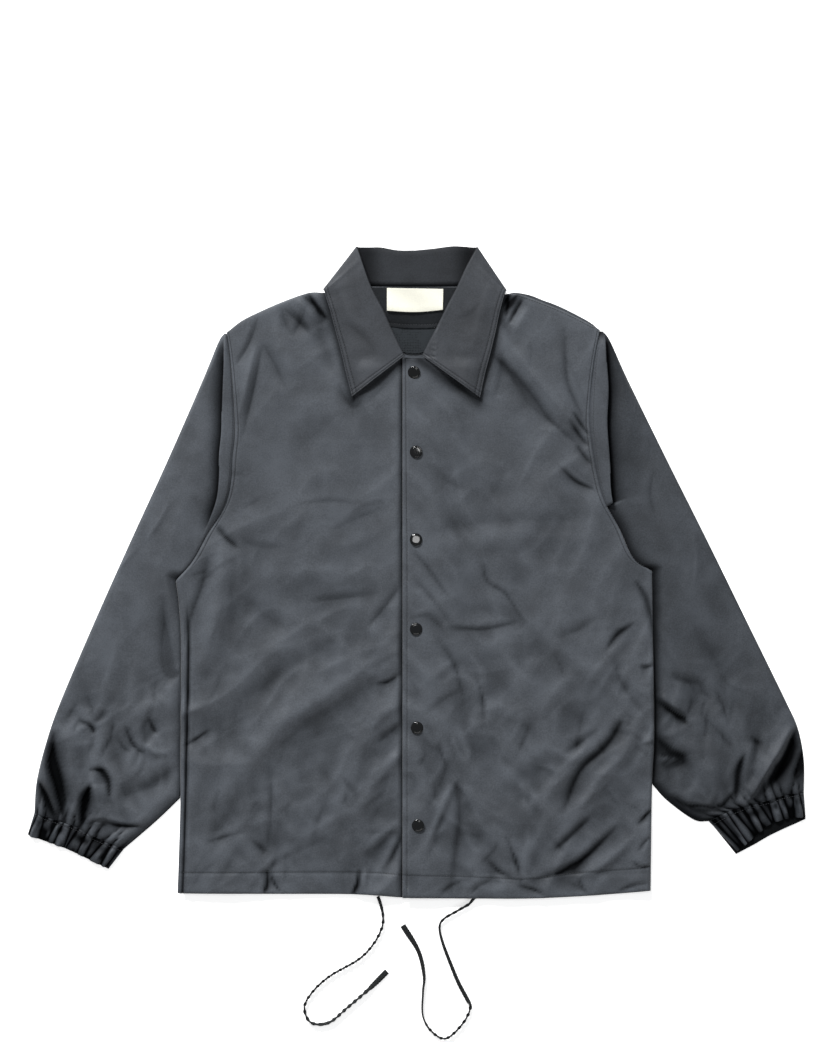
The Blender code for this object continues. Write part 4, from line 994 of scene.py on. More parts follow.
def build_sleeve(side, cloth):
    """A sleeve folded flat: a raised strip by the armhole, folds, and gathers above the cuff."""
    outer, inner, armhole, seam = sleeve_lines(side)
    length = curve_length(inner)
    armpit = curve_length(armhole) / length
    sections = np.maximum(places(length, start_edge=False) / length, 0.002)
    inner_ends, outer_ends = along(inner, sections), along(outer, sections)
    width = np.linalg.norm(outer_ends - inner_ends, axis=1)[:, None]
    to_cuff = (1 - sections)[:, None] * length

    # Columns: across the strip, tucked in under it where there is one, and on to the outer fold.
    strip_curve = soft_curve(STRIP_WIDTHS[side])
    strip_width = np.interp(sections / armpit, strip_curve[:, 0], strip_curve[:, 1])[:, None]
    fade = soft_step((strip_width - 3) / 8) * soft_step((sections[:, None] - 0.002) / 0.03)
    narrow = np.minimum(strip_width / STRIP_POINTS[-1], width / 24)
    strip = np.repeat(STRIP_POINTS[None], len(sections), axis=0)
    offsets = np.hstack([strip, between(PLAIN_POINTS[None], TUCKED_POINTS[None], fade)]) * narrow
    start = offsets[:, -1:]
    rest_shares = places(150.0, start_edge=False)[1:] / 150.0
    offsets = np.hstack([offsets, start + (width - start) * rest_shares[None]])
    shares = offsets / width
    plan = between(inner_ends[:, None], outer_ends[:, None], shares[..., None])
    bow = along(seam[::-1], shares[-1]) - plan[-1]
    plan = plan + bow[None] * (sections ** 6)[:, None, None]
    x, y = plan[..., 0], plan[..., 1]

    # The open cloth, with its folds, the bulge beside the strip and the gathers above the cuff.
    ridges = fold_height(x, y, FOLDS_SLEEVE[side] + small_creases(CREASES_SLEEVE[side], 31))
    open_top = SLEEVE_TOP + SLEEVE_FOLDS * ridges + rumple(x, y, 41)
    open_top = open_top + crumple(x, y, 43) * (0.1 + 0.5 * soft_step((-90 - y) / 130))
    open_top = open_top + facets(x, y, 95, 46, 75) * (0.2 + 0.6 * soft_step((-60 - y) / 120))
    bulge = 4.0 * soft_step((0.72 - sections / armpit) / 0.4)[:, None] * fade
    open_top = open_top + bulge * bell(offsets - strip_width - 18, 20)
    gather = pleat_shape(1 - shares, side, to_cuff / 8)
    open_top = open_top - (1 - gather) * 6.5 * bell(to_cuff, 15, 1.2)
    open_top = open_top + 1.6 * gather * bell(to_cuff - 12, 12)

    # The hollow beyond the strip, the strip itself, and the cloth that drops away under its edge.
    beyond = np.maximum(np.maximum(offsets - strip_width + 5.0, 0) - 3, 0)
    hollow = SLEEVE_LOWEST + (open_top - SLEEVE_LOWEST) * (1 - bell(beyond, 9.0, 1.6))
    low = between(open_top, hollow, fade)
    crown = SLEEVE_TOP + STRIP_RISE + 0.5 * ridges
    count = len(STRIP_POINTS)
    tucked = slice(count, count + len(TUCKED_POINTS))
    roll = rounded(STRIP_POINTS[-1] - STRIP_POINTS, 2.2)
    climb = (0.3 + 0.7 * (STRIP_POINTS / STRIP_POINTS[-1]) ** 0.8)[None]
    raised = SEAM_HEIGHT + (crown[:, :count] - SEAM_HEIGHT) * climb - 1.4 * (1 - roll)[None]
    top = low.copy()
    top[:, :count] = between(open_top[:, :count], raised, fade)
    dropped = between(crown[:, count - 1:count] - 1.4, low[:, tucked], TUCKED_DROPS)
    top[:, tucked] = between(low[:, tucked], dropped, fade)
    top = np.maximum(top, SLEEVE_LOWEST)

    # Edges: the armhole seam down to the armpit, the open edge beside the body, and the outer fold.
    near_outer = rounded(width - offsets, 5.0 if side == "right" else 15.0)
    beside = SLEEVE_EDGE + (top - SLEEVE_EDGE) * soft_step((offsets + 2) / 18) * near_outer
    seamed = SEAM_HEIGHT + (np.maximum(top, SEAM_HEIGHT) - SEAM_HEIGHT) * rounded(offsets, 6.0)
    seamed = np.where(offsets < 6.2, seamed, top)
    seamed = SLEEVE_EDGE + (seamed - SLEEVE_EDGE) * near_outer
    top = between(beside, seamed, soft_step((armpit - sections) * length / 16)[:, None])
    start_edge = rounded(sections * length - 1.2, 3.0)[:, None]
    top = SLEEVE_EDGE + (top - SLEEVE_EDGE) * start_edge
    over = np.dstack([plan, top])

    flat = np.full_like(top, SHELL + 0.15)
    flat[:, -1] = top[:, -1]
    flat[0] = top[0]
    below = sections >= armpit
    flat[below, 0] = top[below, 0]
    under = np.dstack([plan, np.minimum(flat, top)])
    plain_shares = (PLAIN_POINTS * narrow / width)[..., None]
    under[:, tucked, :2] = between(inner_ends[:, None], outer_ends[:, None], plain_shares)

    # Painted shade: a shadow in the hollow beyond the strip, a shadow beside the body where the sleeve runs
    # under it, shadow lines, shade in the gathers and an uneven dark line along the cuff seam.
    from_strip = offsets - strip_width
    trench_shadow_width, beside_shadow_width = (8, 3) if side == "right" else (17, 12)
    trench_shadow = bell(np.maximum(from_strip, 0), trench_shadow_width, 1.3) * (from_strip > -0.5)
    shade = 1 - 0.92 * trench_shadow * fade
    shade = shade * (1 - 0.85 * (1 - fade) * bell(offsets, beside_shadow_width))
    shade = shade * shadow_tone(x, y, SHADOWS_SLEEVE[side])
    shade = shade * (1 - 0.9 * (1 - gather) * np.exp(-to_cuff / 22))
    shade = shade * (1 - (0.35 + 0.3 * soft_noise(x, y, 9, 45)) * bell(to_cuff, 3.5))
    # Painted shade over the whole of this sleeve.
    if side == "left":
        shade = shade * 0.76
    piece = add_tube_shell(f"sleeve_{side}_cloth", over, under, shade)
    finish_piece(piece, cloth, [f"sleeve_{side}"])
    return [over[(sections > 0.03) & (sections < armpit * 0.97), nearest_index(STRIP_POINTS, STRIP_STITCH)]]


def build_cuff(side, cloth, dark):
    """A gathered elastic cuff: uneven pleats all round, open at the hand end."""
    hem = CUFF_HEM[side]
    mouth = hem if side == "right" else CUFF_MOUTH_LEFT
    shares = np.linspace(0, 1, 151)
    depth = places(CASING_DEPTH, step=1.8, marks=[CUFF_STITCH]) / CASING_DEPTH
    near, far_over, far_under = (along(soft_curve(line), shares) for line in (CUFF_SEAM[side], mouth, hem))
    step = depth[:, None, None]
    shape_shares = np.repeat(shares[None], len(depth), axis=0)
    shape = pleat_shape(shape_shares, side, (1 - depth * 3)[:, None])
    unevenness = soft_noise(shape_shares * CUFF_WIDTH, depth[:, None] * CASING_DEPTH * 0.6, 5.0, 47)
    shape = shape * (0.82 + 0.34 * unevenness)
    outward = far_over - near
    outward = outward / np.linalg.norm(outward, axis=1)[:, None]
    over_plan = between(near[None], far_over[None], step)
    over_plan = over_plan + outward[None] * ((shape - 0.6) * 1.6 * depth[:, None] ** 2)[..., None]
    under_plan = between(near[None], far_under[None], step)
    puff = np.sin(np.pi * np.clip(0.1 + 0.8 * depth, 0, 1)) ** 0.5
    sides = rounded(np.minimum(shares, 1 - shares) * CUFF_WIDTH, 6.0)
    over_z = 1.6 + (0.7 + 5.2 * shape) * puff[:, None]
    over_z = over_z + groove(depth * CASING_DEPTH, CUFF_STITCH, 0.4, 1.0)[:, None]
    over_z = SLEEVE_LOWEST + (over_z - SLEEVE_LOWEST) * sides[None]
    under_z = np.full_like(over_z, SHELL + 0.1) + 0.5 * (1 - shape)
    under_z[:, [0, -1]] = over_z[:, [0, -1]]
    under_plan[:, [0, -1]] = over_plan[:, [0, -1]]
    over, under = np.dstack([over_plan, over_z]), np.dstack([under_plan, under_z])
    # Painted shade: near black where the pleats pinch in, darker over the whole left cuff, and darker along
    # the stitches.
    shade = (0.03 + 0.87 * np.clip(shape * 2 - 0.8, 0, 1)) * (0.92 if side == "right" else 0.74)
    shade = shade * (1 - 0.35 * bell(depth * CASING_DEPTH - CUFF_STITCH, 1.0))[:, None]
    piece = add_tube_shell(f"cuff_{side}_cloth", over, under, shade, inside_painted_shade=True)
    finish_piece(piece, cloth, [f"cuff_{side}"])
    # Second material, for the inner faces: near-black painted shade inside the cuff's mouth.
    piece.data.materials.append(dark)
    return [over[nearest_index(depth * CASING_DEPTH, CUFF_STITCH)]]


def rest_on_front(point, side):
    """Raise a point of the leaf clear of the front that it lies on."""
    lifted = point.copy()
    if not (abs(point[0]) < 20 and point[1] > PLACKET_TOP_Y):
        x, y = point[:1], point[1:2]
        height = FRONT_TOP + float(neck_lift(x, y)[0])
        if side == "left":
            height += PLACKET_RISE * float(placket_share(x)[0])
        lifted[2] = max(point[2], height + LEAF_CLEARANCE + COLLAR_WALL / 2)
    return lifted


def collar_profile(row, side, leaf_shares):
    """Points from the neck seam up the stand, round the roll line and out to the leaf's edge."""
    section = CollarSection(*row)
    seam = np.array([section.seam_x, section.seam_y, section.seam_z])
    roll = np.array([section.roll_x, section.roll_y, section.roll_z])
    edge = np.array([section.edge_x, section.edge_y, section.edge_z])
    sign = -1 if side == "right" else 1
    rise = (roll - seam) / np.linalg.norm(roll - seam)
    fall = (edge - roll) / np.linalg.norm(edge - roll)
    outward = np.array([sign * abs(rise[1]), -sign * rise[0] * np.sign(rise[1]), 0])
    turn = math.radians(section.turn)
    normal = math.cos(turn) * np.array([0, 0, 1.0]) + math.sin(turn) * outward
    stand_normal = normal - (normal @ rise) * rise
    stand_normal /= np.linalg.norm(stand_normal)
    leaf_normal = normal - (normal @ fall) * fall
    leaf_normal /= np.linalg.norm(leaf_normal)
    stand_end = roll - rise * ROLL_RADIUS * 1.6 - stand_normal * ROLL_RADIUS
    leaf_start = roll + fall * ROLL_RADIUS * 1.6 + leaf_normal * ROLL_RADIUS
    stand = [seam + rise * 0.5 + (stand_end - seam - rise * 0.5) * share for share in np.linspace(0, 1, 8)]
    middle = (stand_end + leaf_start) / 2
    reach = (leaf_start - stand_end) / 2
    out = (rise - fall) / max(np.linalg.norm(rise - fall), 0.2) * ROLL_RADIUS
    angles = [math.radians(angle) for angle in (40, 75, 90, 105, 140)]
    rolled = [middle - reach * math.cos(angle) + out * math.sin(angle) for angle in angles]
    leaf = [leaf_start + (edge - leaf_start) * share for share in leaf_shares]
    if section.turn < 20:
        leaf = [rest_on_front(point, side) for point in leaf]
    return stand + rolled, leaf


def collar_rows(side, front_end):
    """Sections of one half of the collar, with more of them where the stitches run beside its front end."""
    rows = soft_curve(COLLAR[side] + [COLLAR_MIDDLE], SECTION_STEPS)
    first = rows[0][None] + (rows[SECTION_STEPS] - rows[0])[None] * front_end[:, None]
    return np.vstack([first[:-1], rows[SECTION_STEPS:]])


def build_collar(cloth):
    """The collar: stand and leaf in one turned cloth, with a double row of stitches."""
    front_end = places(FRONT_END, marks=LEAF_STITCHES, end_edge=False) / FRONT_END
    leaf_shares = places(LEAF_WIDTH, start_edge=False,
                         marks=[LEAF_WIDTH - mark for mark in LEAF_STITCHES]) / LEAF_WIDTH
    right, left = collar_rows("right", front_end), collar_rows("left", front_end)[:-1][::-1]
    profiles = [collar_profile(row, "right", leaf_shares) for row in right]
    profiles += [collar_profile(row, "left", leaf_shares) for row in left]
    leaf_from = len(profiles[0][0])
    grid = np.array([stand + leaf for stand, leaf in profiles])
    rows, columns = grid.shape[:2]
    x, y = grid[..., 0], grid[..., 1]
    in_front = np.concatenate([right[:, -1] < 60, left[:, -1] < 60])
    facing_up = in_front[:, None] * (np.arange(columns) >= leaf_from)[None]
    across = np.concatenate([np.zeros(leaf_from), leaf_shares * LEAF_WIDTH])
    from_edge = LEAF_WIDTH - across
    lifted = np.concatenate([np.zeros(leaf_from), soft_step(leaf_shares * 1.4)])
    from_front = np.full(rows, 99.0)
    from_front[:len(front_end) - 1] = front_end[:-1] * FRONT_END
    from_front[1 - len(front_end):] = front_end[-2::-1] * FRONT_END
    seams = sum(groove(from_edge, mark, 0.35, 0.6) for mark in LEAF_STITCHES)[None]
    seams = seams + sum(groove(from_front, mark, 0.35, 0.6) for mark in LEAF_STITCHES)[:, None]
    wave = 0.8 * soft_noise(x, y, 38, 51) + 0.35 * soft_noise(x, y, 15, 52)
    wave = wave + fold_height(x, y, FOLDS_COLLAR)
    grid[..., 2] += facing_up * (wave * lifted[None] + seams)
    tip_lift = soft_step((np.abs(x) - 6) / 14) * soft_step((84 - np.abs(x)) / 30)
    tip_lift = soft_step((262 - y) / 20) * tip_lift
    grid[..., 2] += facing_up * (1.2 + 3.4 * tip_lift) * lifted[None]

    faces = grid_faces(rows, columns)
    probe = int(rows * 0.12)
    corner = grid[probe, columns - 8]
    if np.cross(grid[probe, columns - 4] - corner, grid[probe + 1, columns - 8] - corner)[2] < 0:
        faces = faces[:, ::-1]
    piece = add_shell("collar_cloth", grid.reshape(-1, 3), faces, thickness=COLLAR_SHELL)
    # Painted shade along the stitched grooves, in the leaf's hollows past the roll line with painted light
    # on its ridges, and over the stand, darkest towards its ends.
    stitched = sum(bell(from_edge - mark, 0.9) for mark in LEAF_STITCHES)[None]
    stitched = stitched + sum(bell(from_front - mark, 0.9) for mark in LEAF_STITCHES)[:, None]
    stand_painted_shade = 0.62 - 0.42 * soft_step((np.abs(x) - 34) / 30)
    past_roll = soft_step(3 * across / LEAF_WIDTH)[None]
    leaf_painted_shade = (1 + (hollow_shade(grid[..., 2]) - 1) * past_roll) * (1 - 0.34 * np.minimum(stitched, 1))
    paint(piece, np.where(facing_up, leaf_painted_shade, stand_painted_shade))
    finish_piece(piece, cloth, ["collar"])

    shown = np.where(in_front)[0]
    stitches = []
    for mark in LEAF_STITCHES:
        column = nearest_index(from_edge, mark)
        start = nearest_index(front_end * FRONT_END, mark)
        end = rows - 1 - start
        for run, end_row in ((shown[(shown < len(right)) & (shown >= start)], start),
                             (shown[(shown >= len(right)) & (shown <= end)], end)):
            stitches.append(grid[run, column])
            stitches.append(grid[end_row, leaf_from + 2:column + 1])
    return stitches


def build_neck(facing_cloth, mesh_cloth, label_cloth):
    """The facing, the mesh lining below it and the bare label."""
    high = np.stack([np.linspace(-80, 77, 60), np.full(60, FACING_TOP_Y)], axis=1)
    height = places(FACING_DEPTH, step=2.5, marks=[FACING_STITCH])
    shares = (height / FACING_DEPTH)[:, None, None]
    plan = between(even_points(FACING_LOW, 60)[None], high[None], shares)
    x, y = plan[..., 0], plan[..., 1]
    top = LINING_TOP + 0.4 + neck_lift(x, y) + 0.3 * soft_noise(x, y, 16, 61)
    top = top + groove(shares[..., 0] * FACING_DEPTH, FACING_STITCH, 0.3)
    facing = np.dstack([plan, top])
    piece = add_grid_shell("neck_facing_cloth", facing)
    finish_piece(piece, facing_cloth, ["neck_facing"])

    high = even_points(FACING_LOW, 50) + np.array([0, 3.0])
    shares = (places(LINING_DEPTH, step=2.5) / LINING_DEPTH)[:, None, None]
    plan = between(even_points(LINING_LOW, 50)[None], high[None], shares)
    x, y = plan[..., 0], plan[..., 1]
    top = LINING_TOP - 0.5 + neck_lift(x, y) + 0.35 * soft_noise(x, y, 14, 63)
    lining = np.dstack([plan, top])
    piece = add_grid_shell("mesh_lining_cloth", lining)
    finish_piece(piece, mesh_cloth, ["mesh_lining"])

    low_left, low_right, high_right, high_left = (np.array(corner, float) for corner in LABEL_CORNERS)
    u = (places(LABEL_WIDTH, step=3) / LABEL_WIDTH)[None, :, None]
    v = (places(LABEL_DEPTH, step=3) / LABEL_DEPTH)[:, None, None]
    plan = between(between(low_left, low_right, u), between(high_left, high_right, u), v)
    plan[..., 1] -= 2.2 * np.sin(np.pi * u[..., 0]) * (1 - v[..., 0])
    x, y = plan[..., 0], plan[..., 1]
    top = LINING_TOP + 1.6 + neck_lift(x, y) + 0.35 * np.sin(x / 11 + y / 9) + 0.5 * (1 - v[..., 0])
    label = np.dstack([plan, top])
    piece = add_grid_shell("label_cloth", label, thickness=LABEL_SHELL)
    finish_piece(piece, label_cloth, ["label"])
    return [facing[nearest_index(height, FACING_STITCH)]]


def add_stitches(name, lines, material, length=2.5, pitch=3.3, radius=0.27):
    """Topstitching: a short thread for each stitch, laid along lines of points."""
    around = [(1, 0), (0, 1), (-1, 0), (0, -1)]
    lift, sink = np.array([0, 0, 0.22]), np.array([0, 0, 0.2])
    points, faces = [], []
    for line in lines:
        if len(line) < 2:
            continue
        total = curve_length(line)
        starts = (np.arange(max(1, int(total / pitch))) + 0.15) * pitch / total
        near, far = along(line, starts), along(line, np.minimum(starts + length / total, 1))
        for a, b in zip(near, far):
            way = b - a
            if np.linalg.norm(way) < 0.5:
                continue
            way /= np.linalg.norm(way)
            aside = np.cross(way, (0, 0, 1.0))
            aside /= max(np.linalg.norm(aside), 1e-6)
            up = np.cross(aside, way)
            base = len(points)
            points.append(a - sink)
            for centre in (a + way * 0.45 + lift, b - way * 0.45 + lift):
                points += [centre + (aside * c + up * s) * radius for c, s in around]
            points.append(b - sink)
            for k in range(4):
                after = (k + 1) % 4
                faces.append((base, base + 1 + after, base + 1 + k))
                faces.append((base + 1 + k, base + 1 + after, base + 5 + after, base + 5 + k))
                faces.append((base + 9, base + 5 + k, base + 5 + after))
    finish_piece(add_mesh(name, points, faces), material)


def add_turned(name, profile, sides=64):
    """A turned piece about a vertical axis, from its profile's lower middle out and up to its top."""
    turns = [2 * math.pi * step / sides for step in range(sides)]
    points = [(radius * math.cos(turn), radius * math.sin(turn), height)
              for radius, height in profile[1:-1] for turn in turns]
    points += [(0, 0, profile[0][1]), (0, 0, profile[-1][1])]
    last = (len(profile) - 3) * sides
    steps = [(step, (step + 1) % sides) for step in range(sides)]
    faces = [(a + step, a + after, a + sides + after, a + sides + step)
             for a in range(0, last, sides) for step, after in steps]
    for step, after in steps:
        faces.append((after, step, len(points) - 2))
        faces.append((last + step, last + after, len(points) - 1))
    piece = add_mesh(name, points, faces)
    piece.data.set_sharp_from_angle(angle=math.radians(50))
    return piece


def build_snaps(enamel):
    """The six snap caps: a low dome in a rolled rim, each leaning a little."""
    radius = SNAP_DIAMETER / 2
    profile = [(0, 0), (radius - 0.7, 0), (radius - 0.1, 0.35), (radius, 0.9), (radius - 0.3, 1.45),
               (radius - 0.9, 1.75), (radius - 1.2, 1.7), (radius - 1.5, 1.82), (radius - 2.0, 2.1),
               (radius - 2.5, 2.18), (radius * 0.45, 2.23), (radius * 0.22, 2.25), (0, 2.255)]
    for index, ((x, y), tilt) in enumerate(zip(SNAP_PLACES, SNAP_TILTS), start=1):
        under = front_top(x + np.array([-5.0, 0.0, 5.0]), np.full(3, float(y)), "left").mean()
        piece = add_turned(f"snap_{index}_cap", profile)
        piece.location = np.array((x, y, under - 0.1)) * MM
        piece.rotation_euler = (math.radians(tilt[0]), math.radians(tilt[1]), 0)
        finish_piece(piece, enamel, [f"snap_{index}"])


def build_cord(side, braid):
    """A free end of the flat drawcord, which twists as it runs, with a cut tip."""
    path = along(soft_curve(CORD_ROUTES[side], 16), np.linspace(0, 1, 300))
    gone = np.concatenate([[0], np.cumsum(np.linalg.norm(np.diff(path, axis=0), axis=1))])
    turns = np.array(CORD_TWISTS[side])
    lean, wobble = (np.interp(gone, turns[:, 0], turns[:, column]) for column in (1, 2))
    twist = math.pi * (lean + wobble * np.sin(gone * 0.72 + 0.8 * np.sin(gone / 19)))
    half_height = np.sin(math.pi * lean) * CORD_WIDTH / 2 + CORD_THICKNESS / 2
    spread = 1 + 0.35 * soft_step((gone - gone[-1] + 38) / 26)
    heights = between(CORD_EXIT_Z, half_height + 0.05, soft_step(gone / CORD_DROP))
    heights = np.maximum(heights, half_height + 0.05)
    centre = np.column_stack([path, heights])
    way = np.gradient(centre, axis=0)
    way /= np.linalg.norm(way, axis=1)[:, None]
    level = np.cross(way, (0, 0, 1.0))
    level /= np.linalg.norm(level, axis=1)[:, None]
    lift = np.cross(level, way)
    aside = level * np.cos(twist)[:, None] + lift * np.sin(twist)[:, None]
    up = lift * np.cos(twist)[:, None] - level * np.sin(twist)[:, None]
    outline = [(-1, 0), (-0.8, 0.7), (-0.35, 1), (0.35, 1), (0.8, 0.7), (1, 0),
               (0.8, -0.7), (0.35, -1), (-0.35, -1), (-0.8, -0.7)]
    around = len(outline)
    points = []
    for index in range(len(centre)):
        knobbly = 1 + 0.07 * math.sin(index * 1.9)
        points += [centre[index] + aside[index] * u * knobbly * spread[index] * CORD_WIDTH / 2
                   + up[index] * v * CORD_THICKNESS / 2 for u, v in outline]
    faces = [(ring + k, ring + around + k, ring + around + (k + 1) % around, ring + (k + 1) % around)
             for ring in range(0, len(points) - around, around) for k in range(around)]
    faces.append(tuple(range(around)))
    faces.append(tuple(reversed(range(len(points) - around, len(points)))))
    piece = finish_piece(add_mesh(f"cord_{side}_braid", points, faces), braid, [f"cord_{side}"])


def add_node(tree, kind, inputs=None, **settings):
    """A shader node: its settings, and its inputs as values or as other nodes' outputs."""
    node = tree.nodes.new("ShaderNode" + kind)
    for name, value in settings.items():
        setattr(node, name, value)
    for name, value in (inputs or {}).items():
        if isinstance(value, bpy.types.NodeSocket):
            tree.links.new(value, node.inputs[name])
        else:
            node.inputs[name].default_value = value
    return node


def new_material(name, color, roughness, **values):
    """A principled material, its tree and its shader; values are of inputs, with _ for each space."""
    material = bpy.data.materials.new(name)
    material.use_nodes = True
    surface = material.node_tree.nodes["Principled BSDF"]
    surface.inputs["Base Color"].default_value = (*color, 1)
    surface.inputs["Roughness"].default_value = roughness
    for key, value in values.items():
        surface.inputs[key.replace("_", " ")].default_value = value
    return material, material.node_tree, surface


def object_place(tree):
    """Places in the piece's own space, in metres."""
    return add_node(tree, "TexCoord").outputs["Object"]


def add_noise(tree, place, scale, detail, stretch=(1, 1, 1)):
    """Noise with features about 1 / scale metres across."""
    mapping = add_node(tree, "Mapping", {"Scale": stretch, "Vector": place})
    noise = {"Scale": scale, "Detail": detail, "Vector": mapping.outputs["Vector"]}
    return add_node(tree, "TexNoise", noise).outputs["Fac"]


def add_math(tree, operation, first, second):
    """The result of two values or sockets."""
    return add_node(tree, "Math", {0: first, 1: second}, operation=operation).outputs[0]


def add_mix(tree, factor, color, low, high):
    """A colour between two strengths of one colour."""
    colors = {6: (*[c * low for c in color], 1), 7: (*[c * high for c in color], 1)}
    return add_node(tree, "Mix", {"Factor": factor, **colors}, data_type="RGBA").outputs[2]


def add_bump(tree, height, strength, distance, invert=False, **more):
    """A normal bent by a height."""
    inputs = {"Strength": strength, "Distance": distance, "Height": height, **more}
    return add_node(tree, "Bump", inputs, invert=invert).outputs["Normal"]


def cloth_material(name, color, roughness=0.64, mottle=0.24, sheen=0.12, gloss=0.32, bump=0.5, toned=True):
    """Fine woven nylon: a plain weave, faint mottling, small pressed creases, and the painted shade and
    light that the points' tone gives.
    """
    material, tree, surface = new_material(name, color, roughness, Specular_IOR_Level=gloss,
                                           Sheen_Weight=sheen, Sheen_Roughness=0.45)
    place = object_place(tree)
    threads = {"Scale": math.pi / (10 * WEAVE), "Distortion": 0.4, "Detail": 0.0, "Vector": place}
    bands = [add_node(tree, "TexWave", threads, wave_type="BANDS", bands_direction=turn).outputs["Fac"]
             for turn in "XY"]
    mottling = add_math(tree, "ADD", add_noise(tree, place, 620, 3), add_noise(tree, place, 26, 3))
    ramp = add_node(tree, "MapRange", {"From Min": 0.78, "From Max": 1.22, "Value": mottling})
    base = add_mix(tree, ramp.outputs["Result"], color, 1 - mottle, 1 + mottle)
    if toned:
        tone = add_node(tree, "Attribute", attribute_name="tone").outputs["Fac"]
        base = add_node(tree, "VectorMath", {0: base, 1: tone}, operation="MULTIPLY").outputs[0]
        # The painted shade also dims the gloss and the sheen.
        for share, socket in ((gloss, "Specular IOR Level"), (sheen, "Sheen Weight")):
            if share > 0:
                tree.links.new(add_math(tree, "MULTIPLY", tone, share), surface.inputs[socket])
    tree.links.new(base, surface.inputs["Base Color"])
    fine = add_bump(tree, add_math(tree, "MULTIPLY", *bands), 0.3, 0.0001)
    creases = add_noise(tree, place, 170, 4, (1, 0.7, 1))
    tree.links.new(add_bump(tree, creases, bump, 0.0006, Normal=fine), surface.inputs["Normal"])
    return material


def mesh_material(name, color):
    """Dark polyester mesh: small round holes in staggered rows, drawn in colour and bump."""
    material, tree, surface = new_material(name, color, 0.8, Specular_IOR_Level=0.15)
    holes = add_node(tree, "TexVoronoi", {"Scale": 520, "Randomness": 0.15, "Vector": object_place(tree)})
    edges = {"From Min": 0.25, "From Max": 0.5, "Value": holes.outputs["Distance"]}
    ramp = add_node(tree, "MapRange", edges)
    tree.links.new(add_mix(tree, ramp.outputs["Result"], color, 0.25, 1.5), surface.inputs["Base Color"])
    tree.links.new(add_bump(tree, ramp.outputs["Result"], 0.8, 0.0004), surface.inputs["Normal"])
    return material


def braid_material(name, color):
    """A flat braid of small knobbly ribs."""
    material, tree, surface = new_material(name, color, 0.75, Specular_IOR_Level=0.15)
    ribs = add_node(tree, "TexVoronoi", {"Scale": 700, "Vector": object_place(tree)}).outputs["Distance"]
    # The colour is lighter on each rib and darker in the gaps between them: painted highlight and shade.
    tree.links.new(add_mix(tree, ribs, color, 1.5, 0.45), surface.inputs["Base Color"])
    tree.links.new(add_bump(tree, ribs, 0.9, 0.0006, invert=True), surface.inputs["Normal"])
    return material


def enamel_material(name):
    """Gloss black enamel with faint wear."""
    material, tree, surface = new_material(name, (0.004, 0.0045, 0.005), 0.12, Specular_IOR_Level=0.3,
                                           Coat_Weight=0.3, Coat_Roughness=0.06)
    wear = add_noise(tree, object_place(tree), 400, 4)
    worn = add_node(tree, "MapRange", {"To Min": 0.06, "To Max": 0.15, "Value": wear})
    tree.links.new(worn.outputs["Result"], surface.inputs["Roughness"])
    return material


def way_rotation(way):
    """Turn that points a lamp along a way."""
    return Vector(way).to_track_quat("-Z", "Y").to_euler()


def add_softbox(name, place, aim, size, power):
    """A rectangular lamp at a place, turned to what it lights."""
    light = bpy.data.lights.new(name, "AREA")
    light.shape = "RECTANGLE"
    light.size, light.size_y = size
    light.energy = power
    lamp = link_object(name, light)
    lamp.location = place
    lamp.rotation_euler = way_rotation(np.array(aim) - np.array(place))


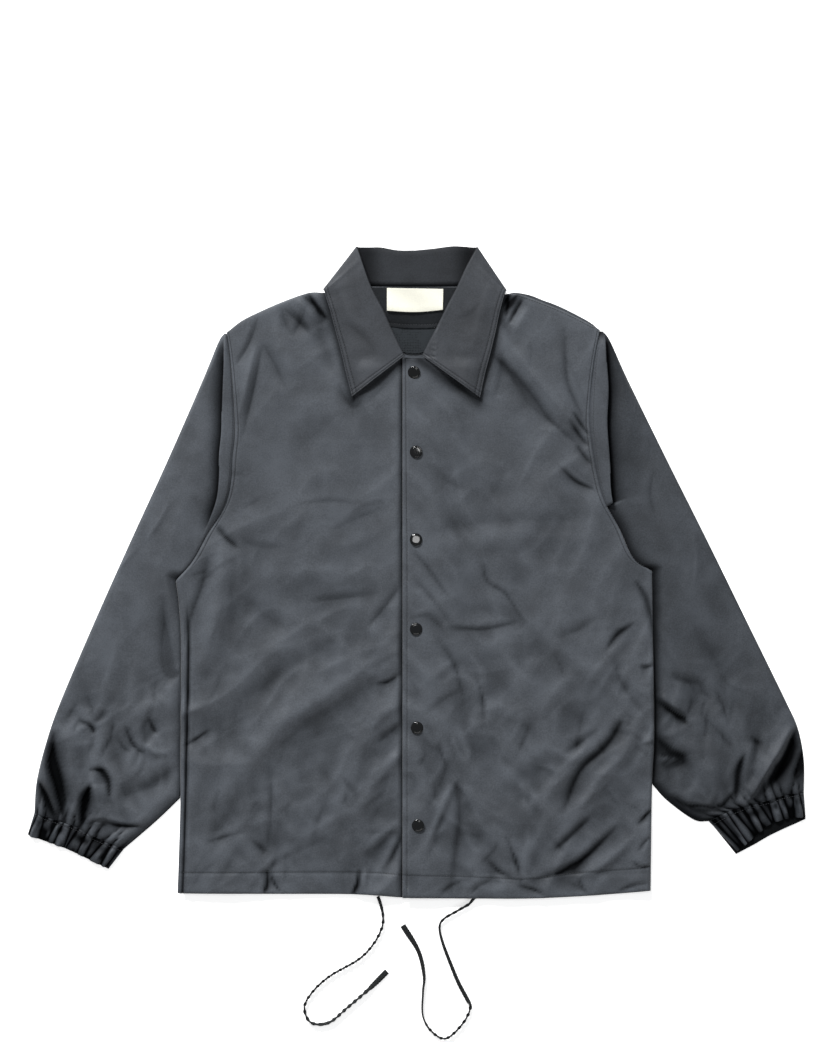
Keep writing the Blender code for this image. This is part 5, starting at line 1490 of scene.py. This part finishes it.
def build_stage():
    """A near-white floor, a soft high light from the top of the photograph, and a pale sky."""
    half = 6.0
    mesh = bpy.data.meshes.new("floor")
    mesh.from_pydata([(-half, -half, 0), (half, -half, 0), (half, half, 0), (-half, half, 0)], [],
                     [(0, 1, 2, 3)])
    material = new_material("floor_white", (0.86, 0.86, 0.86), 0.9, Emission_Color=(1, 1, 1, 1),
                            Emission_Strength=0.55)[0]
    mesh.materials.append(material)
    floor = link_object("floor", mesh)

    world = bpy.data.worlds.new("studio")
    world.use_nodes = True
    sky = world.node_tree.nodes["Background"]
    sky.inputs["Color"].default_value = (0.97, 0.985, 1.0, 1)
    sky.inputs["Strength"].default_value = 0.25
    bpy.context.scene.world = world
    add_softbox("window", (-3.2, 8.2, 4.8), (0, 0, 0), (3.2, 1.2), 1900)
    add_softbox("low_window", (0.6, -4.4, 4.0), (0, -0.2, 0), (5.0, 2.0), 60)
    add_softbox("overhead", (0.15, 0.78, 3.0), (0, 0, 0), (0.7, 0.7), 14)
    bpy.context.scene.view_settings.view_transform = "Standard"


def build_camera():
    """The photograph's view, straight down."""
    data = bpy.data.cameras.new("camera")
    data.lens = LENS
    data.sensor_width = SENSOR
    camera = link_object("camera", data)
    distance = VIEW_HEIGHT * LENS / SENSOR
    camera.location = (VIEW_CENTRE[0] * MM, VIEW_CENTRE[1] * MM, distance * MM)
    camera.rotation_euler = (0, 0, 0)
    bpy.context.scene.camera = camera


def main():
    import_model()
    build_camera()
    build_stage()
    braid = braid_material("cord_braid", (0.011, 0.0125, 0.013))
    for side in SIDES:
        build_cord(side, braid)
    shell = cloth_material("shell_nylon", (0.043, 0.049, 0.058))
    collar = cloth_material("collar_nylon", (0.0275, 0.031, 0.037))
    # Near-black cloth for the inner faces of the cuffs: painted shade where little light gets in.
    inside_shade_nylon = cloth_material("inside_nylon_painted_shade", (0.003, 0.0035, 0.004), mottle=0.1, sheen=0.0, gloss=0.04)
    thread = cloth_material("thread", (0.02, 0.023, 0.027), roughness=0.7, toned=False)
    build_back(shell)
    body_stitches = build_front("right", shell) + build_front("left", shell)
    for side in SIDES:
        body_stitches += build_sleeve(side, shell)
        body_stitches += build_cuff(side, shell, inside_shade_nylon)
    collar_stitches = build_collar(collar)
    # The facing's nylon is far darker than the shell's: painted shade under the collar. The lining's dark
    # mesh colour is darkened further for the same painted shade.
    neck_stitches = build_neck(
        cloth_material("facing_nylon_painted_shade", (0.0105, 0.012, 0.014), sheen=0.02, gloss=0.1),
        mesh_material("lining_mesh", (0.013, 0.0155, 0.018)),
        cloth_material("label_satin", (0.7, 0.69, 0.6), 0.6, 0.04, bump=0.2),
    )
    add_stitches("body_stitches", body_stitches, thread)
    add_stitches("collar_stitches", collar_stitches + neck_stitches, thread)
    build_snaps(enamel_material("snap_enamel"))


main()
